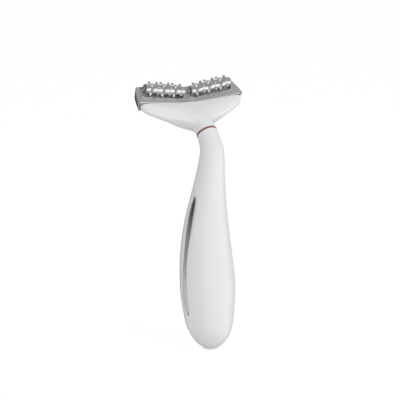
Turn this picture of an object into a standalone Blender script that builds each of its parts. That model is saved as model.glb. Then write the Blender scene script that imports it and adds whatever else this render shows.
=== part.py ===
"""Hand-held facial massager: an egg-shaped white handle whose slim neck leans back into a T-shaped head
with a chrome frame and two studded rollers. Lengths in metres. The base is at the origin, the handle
runs up +Z, the head's long axis is X and the rollers face -Y."""

import math

import bmesh
import bpy
from mathutils import Matrix, Vector

# Fits
gap = 0.0003
slide_gap = 0.00025
wall = 0.0018
head_wall = 0.0016
sheet = 0.0012

# Handle, from the shell's lowest edge up to the neck ring
base_lift = 0.0013
cell_radius = 0.0070
handle_room = 0.0095
handle_radius = cell_radius + handle_room + wall
ring_setback = 0.0048
ring_height = 0.1454
neck_lean = 43.0
neck_radius = 0.0067
# Shares of the way up to the ring, of the radius as setback and as radius, and of the neck's lean
handle_row_shares = (
    (0.0, 0.0, 0.322, 0.0),
    (0.0118, 0.005, 0.454, 0.0),
    (0.0354, 0.011, 0.612, 0.0),
    (0.0638, 0.033, 0.738, 0.0),
    (0.102, 0.077, 0.847, 0.0),
    (0.1575, 0.115, 0.923, 0.0),
    (0.2408, 0.175, 0.989, 0.0),
    (0.3241, 0.219, 1.0, 0.0),
    (0.4212, 0.284, 0.951, 0.0),
    (0.5184, 0.306, 0.863, 0.0),
    (0.6155, 0.268, 0.754, 0.0),
    (0.7127, 0.158, 0.628, 0.0),
    (0.8099, 0.033, 0.514, 0.0),
    (0.8862, -0.055, 0.448, 0.07),
    (0.9348, -0.038, 0.41, 0.326),
    (0.9709, 0.098, 0.383, 0.721),
)
handle_rows = tuple(
    (base_lift + up * (ring_height - base_lift), back * handle_radius, out * handle_radius, lean * neck_lean)
    for up, back, out, lean in handle_row_shares
)
floor_height = 0.0033
handle_sides = 28

# Side electrode strips
strip_bottom_share = 0.1719
strip_top_share = 0.7221
strip_bottom = strip_bottom_share * ring_height
strip_top = strip_top_share * ring_height
strip_proud = 0.0003
strip_depth = 0.0010
strip_half_width = 0.0030
# Shares of the strip's length and of its half width, and degrees towards the front
strip_row_shares = (
    (0.0, 0.10, 2.0),
    (0.05, 0.80, 2.0),
    (0.18, 0.90, 1.5),
    (0.35, 0.78, 2.5),
    (0.53, 0.74, 5.5),
    (0.74, 1.0, 8.5),
    (0.90, 0.95, 8.5),
    (0.96, 0.66, 8.0),
    (1.0, 0.10, 7.0),
)

# Neck ring and the tube that joins handle and head
ring_width = 0.0009
ring_radius = 0.0069
tube_radius = 0.0043
tube_bore = 0.0031
tube_below = 0.0048
tube_above = 0.0040

# Rollers, in frames whose Z runs along the axle and whose Y points out of the face
roller_along = 0.0020
roller_rise = 0.0029
roller_tilt = 7.5
roller_toe = 3.0
roller_half_length = 0.01485
roller_from_middle = 0.0030
roller_across = roller_half_length + roller_from_middle
roller_radius = 0.0036
roller_end_radius = 0.0026
roller_shoulder_radius = 0.0032
roller_end_length = 0.0013
roller_bore = 0.0011
bush_radius = 0.0019
bush_length = 0.0022
stud_height = 0.0014
stud_radius = 0.00105
stud_tip_radius = 0.00055
stud_rows = 12
studs_in_row = 3
stud_phases = 2
stud_margin = 0.00205
left_stud_turn = 59.0
right_stud_turn = 81.5
roller_sides = 30
axle_radius = 0.0008
well_half_width = 0.0048
well_depth = 0.0062
well_inner_corner = 0.0038
well_outer_corner = 0.0008
ear_radius = 0.0014
ear_width = 0.0010
pin_fit = 0.0001

# Head, in its own frame: X across, Y up the face, Z out of the face
face_behind_ring = 0.0239
face_above_ring = 0.0217
face_slope = 38.4
valley_slope = 7.0
valley_round = 0.006
neck_start = 0.0030
head_reach = (
    face_behind_ring * math.cos(math.radians(face_slope))
    + face_above_ring * math.sin(math.radians(face_slope))
    - neck_start
)
head_end_width = 0.0072
head_half_width = roller_across + roller_half_length + head_end_width
head_depth = 0.0085
plate_reach = 0.00765
plate_depth = 0.0043
plate_chamfer = 0.0005
# Shares of the reach along the face, depth as middle height, half width, depth as rise, rise power,
# depth as fall, fall power
head_row_shares = (
    (-1.0, -0.188, 0.1692, 0.741, 2.0, 0.8, 2.0),
    (-0.9178, -0.176, 0.1754, 0.718, 2.0, 0.859, 2.0),
    (-0.8562, -0.2, 0.208, 0.706, 2.0, 0.929, 2.0),
    (-0.8014, -0.235, 0.2707, 0.718, 2.0, 0.988, 2.0),
    (-0.75, -0.294, 0.3659, 0.741, 2.0, 1.012, 1.9),
    (-0.6884, -0.353, 0.4962, 0.753, 2.0, 1.012, 1.7),
    (-0.6233, -0.4, 0.609, 0.741, 2.1, 1.0, 1.5),
    (-0.5651, -0.424, 0.7068, 0.718, 2.2, 1.0, 1.4),
    (-0.5068, -0.435, 0.802, 0.682, 2.4, 1.0, 1.4),
    (-0.4349, -0.447, 0.8997, 0.624, 2.8, 1.0, 1.5),
    (-0.363, -0.447, 0.9599, 0.553, 3.6, 1.0, 1.7),
    (-0.274, -0.447, 0.9925, 0.459, 6.0, 1.0, 1.9),
)
head_rows = tuple(
    (along * head_reach, middle * head_depth, half * head_half_width, rise * head_depth, rise_power,
     fall * head_depth, fall_power)
    for along, middle, half, rise, rise_power, fall, fall_power in head_row_shares
)
# Under the frame: shares of the frame's reach along the face, half width, depth as fall below the frame
tail_row_shares = (
    (-1.039, 0.995, 0.929),
    (0.0, 0.9649, 0.906),
    (0.523, 0.9373, 0.776),
    (0.824, 0.9098, 0.541),
    (0.954, 0.8872, 0.306),
    (1.0, 0.8571, 0.118),
)
tail_rows = tuple(
    (along * plate_reach, half * head_half_width, fall * head_depth)
    for along, half, fall in tail_row_shares
)
tail_power = 2.1
# The chrome frame: shares of its reach along the face and of the half width
plate_row_shares = (
    (-1.0, 1.0),
    (-0.523, 0.985),
    (0.0, 0.9649),
    (0.523, 0.9373),
    (0.824, 0.9098),
    (0.954, 0.8872),
    (1.0, 0.8571),
)
plate_rows = tuple(
    (along * plate_reach, half * head_half_width) for along, half in plate_row_shares
)
head_sides = 36

# Light windows below the rollers
window_half_length = 0.0095
window_half_width = 0.0015
window_flange = 0.0010
flange_thickness = 0.0008
lamp_board_thickness = 0.0010
lamp_size = 0.0016
lamp_height = 0.0005
lamps_per_board = 3

# Power supply and controls inside the handle
cell_length = 0.0500
cell_bottom = 0.0160
cell_setback = -0.0016
cell_cap_radius = 0.0025
cell_cap_height = 0.0008
cradle_half_width = cell_radius + gap + sheet
cradle_stop_reach = cell_radius
board_setback = 0.0084
board_thickness = 0.0012
board_half_width = 0.0078
board_bottom_share = 0.3026
board_top_share = 0.6740
board_bottom = board_bottom_share * ring_height
board_top = board_top_share * ring_height
post_radius = 0.0022
screw_radius = 0.0008
screw_head_radius = 0.0017
screw_head_height = 0.0010
screw_length = 0.0045
screw_margin = 0.0060
button_height_share = 0.5777
button_height = button_height_share * ring_height
button_radius = 0.0042
button_proud = 0.0006
button_flange = 0.0009
button_travel = 0.0006
switch_size = 0.0060
switch_height = 0.0030
plunger_radius = 0.0014
plunger_depth = 0.0012
pipe_above_button = 0.0095
pipe_height = button_height + pipe_above_button
pipe_radius = 0.0009

# Charging socket and its plug
socket_half_width = 0.00447
socket_half_depth = 0.00163
socket_shell = 0.0003
socket_length = 0.0073
socket_mouth = 0.0016
tongue_half_width = 0.0031
tongue_half_depth = 0.0003
tongue_length = 0.0045
charge_board_half_width = 0.0062
charge_board_length = 0.0090
plug_radius = 0.0053
plug_thickness = 0.0010
plug_tab = 0.0012
plug_reach = 0.0040
wire_radius = 0.0005
cable_radius = 0.0011
slot_end_sides = 8

object_name = "facial_massager"


def clear_scene():
    """An empty scene."""
    for obj in list(bpy.data.objects):
        bpy.data.objects.remove(obj, do_unlink=True)


def new_collection(name, hidden):
    """A collection linked to the scene."""
    made = bpy.data.collections.new(name)
    bpy.context.scene.collection.children.link(made)
    made.hide_render = hidden
    return made


def principled(name, colour, roughness, metallic):
    """A material with one Principled shader."""
    made = bpy.data.materials.new(name)
    made.use_nodes = True
    shader = made.node_tree.nodes["Principled BSDF"]
    shader.inputs["Base Color"].default_value = (*colour, 1)
    shader.inputs["Roughness"].default_value = roughness
    shader.inputs["Metallic"].default_value = metallic
    return made


def white_plastic():
    return principled("white_plastic", (0.86, 0.87, 0.88), 0.22, 0)


def chrome():
    return principled("chrome", (0.72, 0.72, 0.74), 0.07, 1)


def rose_metal():
    return principled("rose_metal", (0.62, 0.30, 0.25), 0.22, 1)


def clear_silicone():
    return principled("clear_silicone", (0.80, 0.82, 0.84), 0.35, 0)


def milky_lens():
    return principled("milky_lens", (0.92, 0.80, 0.80), 0.30, 0)


def steel():
    return principled("steel", (0.55, 0.56, 0.58), 0.30, 1)


def slippery_plastic():
    return principled("slippery_plastic", (0.20, 0.20, 0.21), 0.40, 0)


def circuit_board():
    return principled("circuit_board", (0.02, 0.16, 0.08), 0.45, 0)


def grey_plastic():
    return principled("grey_plastic", (0.30, 0.31, 0.33), 0.50, 0)


def cell_wrap():
    return principled("cell_wrap", (0.05, 0.18, 0.50), 0.40, 0)


def cable_skin():
    return principled("cable_skin", (0.70, 0.70, 0.70), 0.55, 0)


def red_cable_skin():
    return principled("red_cable_skin", (0.60, 0.04, 0.03), 0.55, 0)


def place(name, data, collection, material, parent=None, location=(0, 0, 0), rotation=(0, 0, 0)):
    """A new object from its data, linked, coloured and placed."""
    obj = bpy.data.objects.new(name, data)
    collection.objects.link(obj)
    obj.parent = parent
    obj.location = location
    obj.rotation_euler = rotation
    if material:
        data.materials.append(material)
    return obj


def frame_empty(name, collection, parent, matrix):
    """An empty that carries the pieces fixed to it."""
    obj = bpy.data.objects.new(name, None)
    collection.objects.link(obj)
    obj.parent = parent
    obj.matrix_basis = matrix
    return obj


def mesh_from(name, build):
    """A mesh filled by a function that works on a bmesh."""
    data = bpy.data.meshes.new(name)
    shape = bmesh.new()
    build(shape)
    bmesh.ops.recalc_face_normals(shape, faces=shape.faces)
    shape.to_mesh(data)
    shape.free()
    return data


def smooth(obj):
    """Round pieces are shaded smooth, with their edges kept."""
    for face in obj.data.polygons:
        face.use_smooth = True
    obj.data.set_sharp_from_angle(angle=math.radians(35))
    return obj


def loft_mesh(name, rings):
    """A closed skin through rings of the same number of points."""
    def build(shape):
        made = [[shape.verts.new(point) for point in ring] for ring in rings]
        count = len(rings[0])
        for low, high in zip(made, made[1:]):
            for i in range(count):
                j = (i + 1) % count
                shape.faces.new((low[i], low[j], high[j], high[i]))
        shape.faces.new(made[0][::-1])
        shape.faces.new(made[-1])
    return mesh_from(name, build)


def block_mesh(name, low, high):
    """A box between two corners."""
    size = Vector(high) - Vector(low)
    middle = (Vector(high) + Vector(low)) / 2

    def build(shape):
        matrix = Matrix.Translation(middle) @ Matrix.Diagonal((*size, 1))
        bmesh.ops.create_cube(shape, size=1, matrix=matrix)
    return mesh_from(name, build)


def rod_mesh(name, radius, low, high, sides, turn=None, tip=None):
    """A cylinder or cone along Z between two heights, then turned."""
    def build(shape):
        matrix = (turn or Matrix()) @ Matrix.Translation((0, 0, (low + high) / 2))
        bmesh.ops.create_cone(
            shape,
            cap_ends=True,
            segments=sides,
            radius1=radius,
            radius2=radius if tip is None else tip,
            depth=high - low,
            matrix=matrix,
        )
    return mesh_from(name, build)


def turned_object(name, profile, closed, sides, *placing, **where):
    """A profile of (radius, height) points turned about Z."""
    data = bpy.data.meshes.new(name)
    points = [(radius, 0, height) for radius, height in profile]
    edges = [(i, i + 1) for i in range(len(points) - 1)]
    if closed:
        edges.append((len(points) - 1, 0))
    data.from_pydata(points, edges, [])
    obj = place(name, data, *placing, **where)
    screw = obj.modifiers.new("turn", "SCREW")
    screw.axis = "Z"
    screw.steps = sides
    screw.render_steps = sides
    screw.use_merge_vertices = True
    screw.merge_threshold = gap / 1000
    screw.use_smooth_shade = True
    return obj


def wire_object(name, points, radius, *placing, **where):
    """A round wire through points."""
    data = bpy.data.curves.new(name, "CURVE")
    data.dimensions = "3D"
    data.bevel_depth = radius
    data.bevel_resolution = 2
    data.use_fill_caps = True
    spline = data.splines.new("POLY")
    spline.points.add(len(points) - 1)
    for point, place_of in zip(spline.points, points):
        point.co = (*place_of, 1)
    return place(name, data, *placing, **where)


def combine(obj, tool, operation):
    """A Boolean of one object with a helper."""
    tool.display_type = "WIRE"
    tool.hide_render = True
    step = obj.modifiers.new(tool.name, "BOOLEAN")
    step.operation = operation
    step.solver = "EXACT"
    step.object = tool
    return obj


def cut(obj, tool):
    return combine(obj, tool, "DIFFERENCE")


def add(obj, tool):
    return combine(obj, tool, "UNION")


def filled_rows(rows, steps):
    """The rows with more between them, on a smooth curve through all of them."""
    filled = []
    for i in range(len(rows) - 1):
        before = rows[max(i - 1, 0)]
        after = rows[min(i + 2, len(rows) - 1)]
        for k in range(steps):
            t = k / steps
            row = []
            for a, b, c, d in zip(before, rows[i], rows[i + 1], after):
                bend = (2 * a - 5 * b + 4 * c - d) * t * t + (3 * b - a - 3 * c + d) * t ** 3
                row.append(b + ((c - a) * t + bend) / 2)
            filled.append(tuple(row))
    filled.append(tuple(rows[-1]))
    return filled


def axis_of(lean):
    """The way the neck runs at this lean."""
    return Vector((0, math.sin(math.radians(lean)), math.cos(math.radians(lean))))


def back_of(lean):
    """The way to the back across the neck at this lean."""
    return Vector((0, math.cos(math.radians(lean)), -math.sin(math.radians(lean))))


def ring_centre():
    return Vector((0, ring_setback, ring_height))


def all_handle_rows():
    """The handle's rows, ending just under the neck ring."""
    end = ring_centre() - axis_of(neck_lean) * (ring_width / 2 + gap)
    return handle_rows + ((end.z, end.y, neck_radius + gap / 6, neck_lean),)


def round_section(row, inset):
    """A ring of points round the handle at one row."""
    height, setback, radius, lean = row
    centre = Vector((0, setback, height))
    points = []
    for i in range(handle_sides):
        angle = 2 * math.pi * (i + 0.5) / handle_sides
        across = Vector((math.cos(angle), 0, 0)) + math.sin(angle) * back_of(lean)
        points.append(centre + (radius - inset) * across)
    return points


def handle_row_at(height):
    """Setback and radius of the handle at a height below its bend."""
    rows = filled_rows(handle_rows, 8)
    for low, high in zip(rows, rows[1:]):
        if low[0] <= height <= high[0]:
            t = (height - low[0]) / (high[0] - low[0])
            return tuple(a + (b - a) * t for a, b in zip(low, high))
    raise ValueError("height outside the handle")


def handle_body(name, collection, material):
    """The handle's outer shape as one solid."""
    rings = [round_section(row, 0) for row in filled_rows(all_handle_rows(), 2)]
    return smooth(place(name, loft_mesh(name, rings), collection, material))


def handle_hollow(collection):
    """The space inside the handle, open at the neck."""
    rows = [row for row in all_handle_rows() if row[0] > floor_height]
    first = handle_row_at(floor_height)
    rows.insert(0, first)
    height, setback, radius, lean = rows[-1]
    past = Vector((0, setback, height)) + axis_of(lean) * wall
    rows.append((past.z, past.y, radius, lean))
    rings = [round_section(row, wall) for row in rows]
    return place("handle_hollow", loft_mesh("handle_hollow", rings), collection, None)


def parting_block(name, side, collection):
    """Everything before (side -1) or behind (side 1) the centre line, and half a gap more."""
    rows = all_handle_rows()
    reach = 3 * max(row[2] for row in rows)
    line = []
    for height, setback, _, lean in rows:
        step = back_of(lean) * (-side * gap / 2)
        line.append((setback + step.y, height + step.z))
    end = axis_of(neck_lean) * reach
    line.append((line[-1][0] + end.y, line[-1][1] + end.z))
    line.insert(0, (line[0][0], line[0][1] - reach))
    outside = [(side * reach * 2, line[-1][1]), (side * reach * 2, line[0][1])]
    outline = line + outside
    rings = [[Vector((x, y, z)) for y, z in outline] for x in (-reach, reach)]
    return place(name, loft_mesh(name, rings), collection, None)


def strip_rings(side, widen, depth, proud, lengthen):
    """Sections of a side strip, or of the groove for it."""
    rings = []
    length = strip_top - strip_bottom
    for share, width_share, strip_turn in filled_rows(strip_row_shares, 2):
        height = strip_bottom + share * length + (2 * share - 1) * lengthen
        _, setback, radius, _ = handle_row_at(height)
        half = strip_half_width * width_share + widen
        outer = [radius + proud] * 5
        inner = [radius - depth] * 5
        turns = [-1, -0.5, 0, 0.5, 1]
        ring = []
        for reach, turn in zip(outer + inner, turns + turns[::-1]):
            angle = half * turn / radius - math.radians(strip_turn)
            across = side * reach * math.cos(angle)
            ring.append(Vector((across, setback + reach * math.sin(angle), height)))
        rings.append(ring)
    return rings


def electrode_strip(name, side, collection, material):
    """A chrome strip set into the side of the handle."""
    rings = strip_rings(side, 0, strip_depth, strip_proud, 0)
    return smooth(place(name, loft_mesh(name, rings), collection, material))


def strip_groove(name, side, cutters):
    """The groove a strip sits in."""
    rings = strip_rings(side, gap, strip_depth + gap, strip_proud + wall, gap)
    return place(name, loft_mesh(name, rings), cutters, None)


def slot_outline(half_width, half_depth):
    """A flat outline with round ends."""
    points = []
    for end in (1, -1):
        for i in range(slot_end_sides + 1):
            angle = math.pi * i / slot_end_sides - math.pi / 2
            points.append((
                end * (half_width - half_depth + half_depth * math.cos(angle)),
                end * half_depth * math.sin(angle),
            ))
    return points


def slot_mesh(name, half_width, half_depth, low, high):
    """A solid with round ends along Z."""
    outline = slot_outline(half_width, half_depth)
    return loft_mesh(name, [[Vector((x, y, z)) for x, y in outline] for z in (low, high)])


def button_surface():
    """How far back the handle's surface is at the button."""
    _, setback, radius, _ = handle_row_at(button_height)
    return setback + radius


def pipe_surface():
    """How far back the handle's surface is at the status light."""
    _, setback, radius, _ = handle_row_at(pipe_height)
    return setback + radius


def back_turn():
    """Turns a rod's Z to the back."""
    return Matrix.Rotation(-math.pi / 2, 4, "X")


def handle_front_shell(collection, cutters, material):
    """The front half of the handle, with the socket's half hole and the strips' grooves."""
    obj = handle_body("handle_front_shell", collection, material)
    cut(obj, handle_hollow(cutters))
    cut(obj, parting_block("behind_parting", 1, cutters))
    for tool in shared_handle_cutters(cutters, "front"):
        cut(obj, tool)
    return obj


def handle_back_shell(collection, cutters, material):
    """The back half of the handle, with the holes for button and status light."""
    obj = handle_body("handle_back_shell", collection, material)
    cut(obj, handle_hollow(cutters))
    cut(obj, parting_block("before_parting", -1, cutters))
    for tool in shared_handle_cutters(cutters, "back"):
        cut(obj, tool)
    for name, radius, height, reach in (
        ("button_hole", button_radius + slide_gap, button_height, button_surface()),
        ("pipe_hole", pipe_radius + gap, pipe_height, pipe_surface()),
    ):
        hole = rod_mesh(name, radius, reach - 3 * wall, reach + wall, 24, back_turn())
        cut(obj, place(name, hole, cutters, None, location=(0, 0, height)))
    return obj


def shared_handle_cutters(cutters, half):
    """Cutters that both halves of the handle need."""
    name = "socket_hole_" + half
    hole = slot_mesh(name, socket_half_width + gap, socket_half_depth + gap, 0, 2 * floor_height)
    tools = [place(name, hole, cutters, None)]
    for side, word in ((-1, "left"), (1, "right")):
        tools.append(strip_groove(f"groove_{word}_{half}", side, cutters))
        tools.append(contact_hole(f"contact_hole_{word}_{half}", side, cutters))
    return tools


def contact_point(side, depth):
    """A point on a strip's middle line at the height of its contact, this deep below the surface."""
    height = contact_height()
    _, setback, radius, _ = handle_row_at(height)
    share = (height - strip_bottom) / (strip_top - strip_bottom)
    angle = -math.radians(min(filled_rows(strip_row_shares, 4), key=lambda row: abs(row[0] - share))[2])
    reach = radius - depth
    return Vector((side * reach * math.cos(angle), setback + reach * math.sin(angle), height))


def contact_height():
    return board_top - (board_top - board_bottom) / 3


def contact_hole(name, side, cutters):
    """A hole through the shell for a strip's contact wire."""
    start = contact_point(side, 3 * wall)
    end = contact_point(side, strip_depth / 2)
    turn = (end - start).to_track_quat("Z", "Y").to_matrix().to_4x4()
    mesh = rod_mesh(name, wire_radius + gap, 0, (end - start).length, 10, turn)
    return place(name, mesh, cutters, None, location=start)


def strip_contact(name, side, collection, material):
    """A contact wire from the main board to a strip."""
    inner = contact_point(side, strip_depth + gap)
    elbow = contact_point(side, 2 * wall + wire_radius)
    beside = side * (board_half_width + gap)
    board = Vector((beside, board_setback + board_thickness / 2, contact_height()))
    return wire_object(name, [inner, elbow, board], wire_radius, collection, material)


def trim_ring(collection, neck, material):
    """The rose-coloured ring between handle and head."""
    half = ring_width / 2
    outer = ring_radius
    edge = half / 2
    profile = [
        (tube_radius + gap, half),
        (outer - edge, half),
        (outer, half - edge),
        (outer, edge - half),
        (outer - edge, -half),
        (tube_radius + gap, -half),
    ]
    return turned_object("trim_ring", profile, True, 40, collection, material, parent=neck)


def neck_tube(collection, neck, material):
    """The tube that joins handle and head inside the ring."""
    profile = [
        (tube_bore, tube_above),
        (tube_radius, tube_above),
        (tube_radius, -tube_below),
        (tube_bore, -tube_below),
    ]
    return turned_object("neck_tube", profile, True, 24, collection, material, parent=neck)


def valley(across):
    """How much the face rises away from its middle."""
    rise = math.sqrt(across * across + valley_round * valley_round) - valley_round
    return math.tan(math.radians(valley_slope)) * rise


def signed_power(value, power):
    return math.copysign(abs(value) ** power, value)


def head_section(along, middle, half, rise, rise_power, fall, fall_power, lean=0):
    """A ring of points across the head: one curve above its middle height and another below."""
    flat = min(1, half / plate_rows[0][1])
    points = []
    for i in range(head_sides):
        angle = 2 * math.pi * (i + 0.5) / head_sides
        power = rise_power if math.sin(angle) > 0 else fall_power
        reach = rise if math.sin(angle) > 0 else fall
        across = half * signed_power(math.cos(angle), 2 / power)
        out = reach * signed_power(math.sin(angle), 2 / power)
        point = Vector((across, 0, out))
        point.rotate(Matrix.Rotation(math.radians(lean), 3, "X"))
        points.append(point + Vector((0, along, middle + flat * valley(across))))
    return points


def neck_in_head():
    """Where the neck meets the head, in the head's frame, and its lean there."""
    start = ring_centre() + axis_of(neck_lean) * (ring_width / 2 + gap)
    point = head_matrix().inverted() @ start
    return point, 90 - neck_lean - face_slope


def head_matrix():
    """The head's frame in the world."""
    turn = Matrix.Rotation(math.radians(face_slope), 4, "X")
    centre = ring_centre() + Vector((0, face_behind_ring, face_above_ring))
    return Matrix.Translation(centre) @ turn


def first_section(inset, past):
    """The round section where the head meets the ring, or this far past it for the hollow."""
    point, lean = neck_in_head()
    radius = neck_radius - inset
    along = point.y - past * math.cos(math.radians(lean))
    out = point.z - past * math.sin(math.radians(lean))
    return head_section(along, out, radius, radius, 2, radius, 2, lean)


def head_housing(collection, cutters, head, material):
    """The white T-shaped housing, open at the neck and under the frame."""
    rings = [first_section(0, 0)]
    for row in filled_rows(head_rows, 2):
        rings.append(head_section(*row))
    low = -plate_depth - gap
    for along, half, fall in tail_rows:
        rings.append(head_section(along, low, half, 0, 2, fall, tail_power))
    mesh = loft_mesh("head_housing", rings)
    obj = smooth(place("head_housing", mesh, collection, material, parent=head))
    cut(obj, head_hollow(cutters, head))
    return obj


def head_hollow(cutters, head):
    """The space inside the head housing."""
    rings = [first_section(head_wall, head_wall)]
    for along, middle, half, rise, rise_power, fall, fall_power in head_rows[:-1]:
        rings.append(head_section(
            along + head_wall,
            middle,
            half - head_wall,
            rise - head_wall,
            rise_power,
            fall - head_wall,
            fall_power,
        ))
    ledge = -plate_depth - head_wall - gap
    along, middle, half, _, _, fall, fall_power = head_rows[-2]
    start = along + head_wall + gap
    lowest = middle - fall + head_wall
    edge = tail_rows[0][0]
    for reach in (start, edge):
        rings.append(head_section(
            reach,
            ledge - gap,
            half - 2 * head_wall,
            gap,
            2,
            ledge - gap - lowest,
            fall_power,
        ))
    low = -plate_depth - gap
    for along, half, fall in tail_rows[:-2]:
        share = min(1, (tail_rows[-1][0] - head_wall - edge) / (tail_rows[-3][0] - edge))
        rings.append(head_section(
            edge + gap + (along - edge) * share,
            low,
            half - head_wall,
            head_wall,
            4,
            fall - head_wall,
            tail_power,
        ))
    return place("head_hollow", loft_mesh("head_hollow", rings), cutters, None, parent=head)


def plate_section(along, half, drop):
    """A section across the chrome frame: a flat band that follows the valley."""
    count = 14
    top = []
    bottom = []
    for i in range(count + 1):
        across = (half - plate_chamfer) * (2 * i / count - 1)
        top.append(Vector((across, along, valley(across) - drop)))
    for i in range(count + 1):
        across = half * (1 - 2 * i / count)
        bottom.append(Vector((across, along, valley(across) - plate_depth)))
    right = Vector((half, along, valley(half) - plate_chamfer - drop))
    left = Vector((-half, along, valley(half) - plate_chamfer - drop))
    return top + [right] + bottom + [left]


def roller_frame(collection, cutters, head, mounts, material):
    """The chrome frame with its two wells, light windows and the ears that hold the axles."""
    rows = list(plate_rows)
    first = rows[0]
    last = rows[-1]
    rings = [plate_section(*first, plate_chamfer)]
    rings.append(plate_section(first[0] + plate_chamfer, first[1], 0))
    for row in filled_rows(rows, 1)[1:-1]:
        rings.append(plate_section(*row, 0))
    rings.append(plate_section(*last, plate_chamfer))
    mesh = loft_mesh("roller_frame", rings)
    obj = smooth(place("roller_frame", mesh, collection, material, parent=head))
    for word, mount in mounts:
        cut(obj, well(f"well_{word}", cutters, mount))
        for end, spot in ((-1, "inner"), (1, "outer")):
            add(obj, ear(f"ear_{word}_{spot}", end, cutters, mount))
        cut(obj, axle_hole(f"axle_hole_{word}", cutters, mount))
        cut(obj, window(f"window_{word}", cutters, mount))
    return obj


def ear_start():
    """How far from the roller's middle its ears begin."""
    return roller_half_length + gap


def well(name, cutters, mount):
    """The space a roller turns in."""
    top = roller_radius
    bottom = -well_depth
    reach = ear_start() - gap / 6
    outline = []
    for x_side, z_side, start, corner in (
        (1, 1, 0, well_outer_corner),
        (-1, 1, 90, well_outer_corner),
        (-1, -1, 180, well_inner_corner),
        (1, -1, 270, well_inner_corner),
    ):
        for i in range(6):
            angle = math.radians(start + 90 * i / 5)
            outline.append((
                x_side * (well_half_width - corner) + corner * math.cos(angle),
                z_side * (reach - corner) + corner * math.sin(angle),
            ))
    rings = [[Vector((x, y, z)) for x, z in outline] for y in (bottom, top)]
    return place(name, loft_mesh(name, rings), cutters, None, parent=mount)


def ear(name, end, cutters, mount):
    """An upright with a round top at one end of a roller."""
    low, high = sorted((end * ear_start(), end * (ear_start() + ear_width)))
    foot = -roller_rise - plate_depth / 2
    outline = [(-ear_radius, foot), (ear_radius, foot)]
    for i in range(9):
        angle = math.pi * i / 8
        outline.append((ear_radius * math.cos(angle), ear_radius * math.sin(angle)))
    rings = [[Vector((x, y, z)) for x, y in outline] for z in (low, high)]
    return place(name, loft_mesh(name, rings), cutters, None, parent=mount)


def axle_reach():
    """Half the axle's length: it ends just inside the ears' outer faces."""
    return ear_start() + ear_width - gap / 3


def axle_hole(name, cutters, mount):
    """The bore through both ears."""
    reach = 1.2 * axle_reach()
    mesh = rod_mesh(name, axle_radius + pin_fit, -reach, reach, 16)
    return place(name, mesh, cutters, None, parent=mount)


def window(name, cutters, mount):
    """The slot below a roller that its light shines through."""
    mesh = lens_slot_mesh(name, gap, -2 * well_depth, -well_depth / 2)
    return place(name, mesh, cutters, None, parent=mount)


def lens_slot_mesh(name, widen, low, high):
    """A solid with round ends along the roller, between two heights out of the face."""
    outline = slot_outline(window_half_length + widen, window_half_width + widen)
    rings = [[Vector((x, y, z)) for z, x in outline] for y in (low, high)]
    return loft_mesh(name, rings)


def frame_underside():
    """Height of the frame's underside in a roller's frame, at its lowest over the window."""
    spread = window_half_length + window_flange
    tilt = math.radians(abs(roller_tilt - valley_slope))
    return -roller_rise - plate_depth - spread * math.tan(tilt) - gap


def led_lens(name, collection, cutters, mount, material):
    """A milky window with a flange that lies under the frame."""
    top = -well_depth - gap
    flange_top = frame_underside() - gap
    mesh = lens_slot_mesh(name, 0, flange_top - flange_thickness / 2, top)
    obj = place(name, mesh, collection, material, parent=mount)
    tool = lens_slot_mesh(name + "_flange", window_flange, flange_top - flange_thickness, flange_top)
    add(obj, place(name + "_flange", tool, cutters, None, parent=mount))
    return obj


def led_board(name, collection, cutters, mount, material):
    """A board with its lamps under a window."""
    lamp_top = frame_underside() - gap - flange_thickness - gap
    top = lamp_top - lamp_height
    half_length = window_half_length
    half_width = window_half_width + window_flange
    low = (-half_width, top - lamp_board_thickness, -half_length)
    mesh = block_mesh(name, low, (half_width, top, half_length))
    obj = place(name, mesh, collection, material, parent=mount)
    for i in range(lamps_per_board):
        middle = window_half_length * (2 * (i + 0.5) / lamps_per_board - 1)
        corner = (-lamp_size / 2, top - lamp_board_thickness / 2, middle - lamp_size / 2)
        other = (lamp_size / 2, lamp_top, middle + lamp_size / 2)
        tool = f"{name}_lamp_{i + 1}"
        add(obj, place(tool, block_mesh(tool, corner, other), cutters, None, parent=mount))
    return obj


def barrel_radius(spot):
    """The roller's radius at a place along it: a shallow barrel."""
    share = spot / (roller_half_length - roller_end_length)
    return roller_radius - (roller_radius - roller_shoulder_radius) * share * share


def barrel_places():
    """Places along the roller where its profile has a point, from outer to inner end."""
    steps = 8
    reach = roller_half_length - roller_end_length
    return [reach * (1 - 2 * i / steps) for i in range(steps + 1)]


def stud_places(first_turn):
    """Angle and place along the roller of each stud, in rows that step along by a share of the pitch."""
    places = []
    steps = studs_in_row - 1 / stud_phases
    pitch = 2 * (roller_half_length - roller_end_length - stud_margin) / steps
    for row in range(stud_rows):
        turn = math.radians(first_turn) + 2 * math.pi * row / stud_rows
        for i in range(studs_in_row):
            places.append((turn, (i + row % stud_phases / stud_phases - steps / 2) * pitch))
    return places


def roller_studs(name, first_turn, cutters, mount):
    """All studs of a roller as one helper."""
    def build(shape):
        for angle, spot in stud_places(first_turn):
            root = barrel_radius(spot) - stud_radius / 2
            tip = barrel_radius(spot) + stud_height
            turn = Matrix.Rotation(angle, 4, "Z") @ Matrix.Rotation(math.pi / 2, 4, "Y")
            out = Matrix.Translation((0, 0, (root + tip) / 2))
            matrix = Matrix.Translation((0, 0, spot)) @ turn @ out
            bmesh.ops.create_cone(
                shape,
                cap_ends=True,
                segments=6,
                radius1=stud_radius,
                radius2=stud_tip_radius,
                depth=tip - root,
                matrix=matrix,
            )
    return place(name, mesh_from(name, build), cutters, None, parent=mount)


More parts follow.
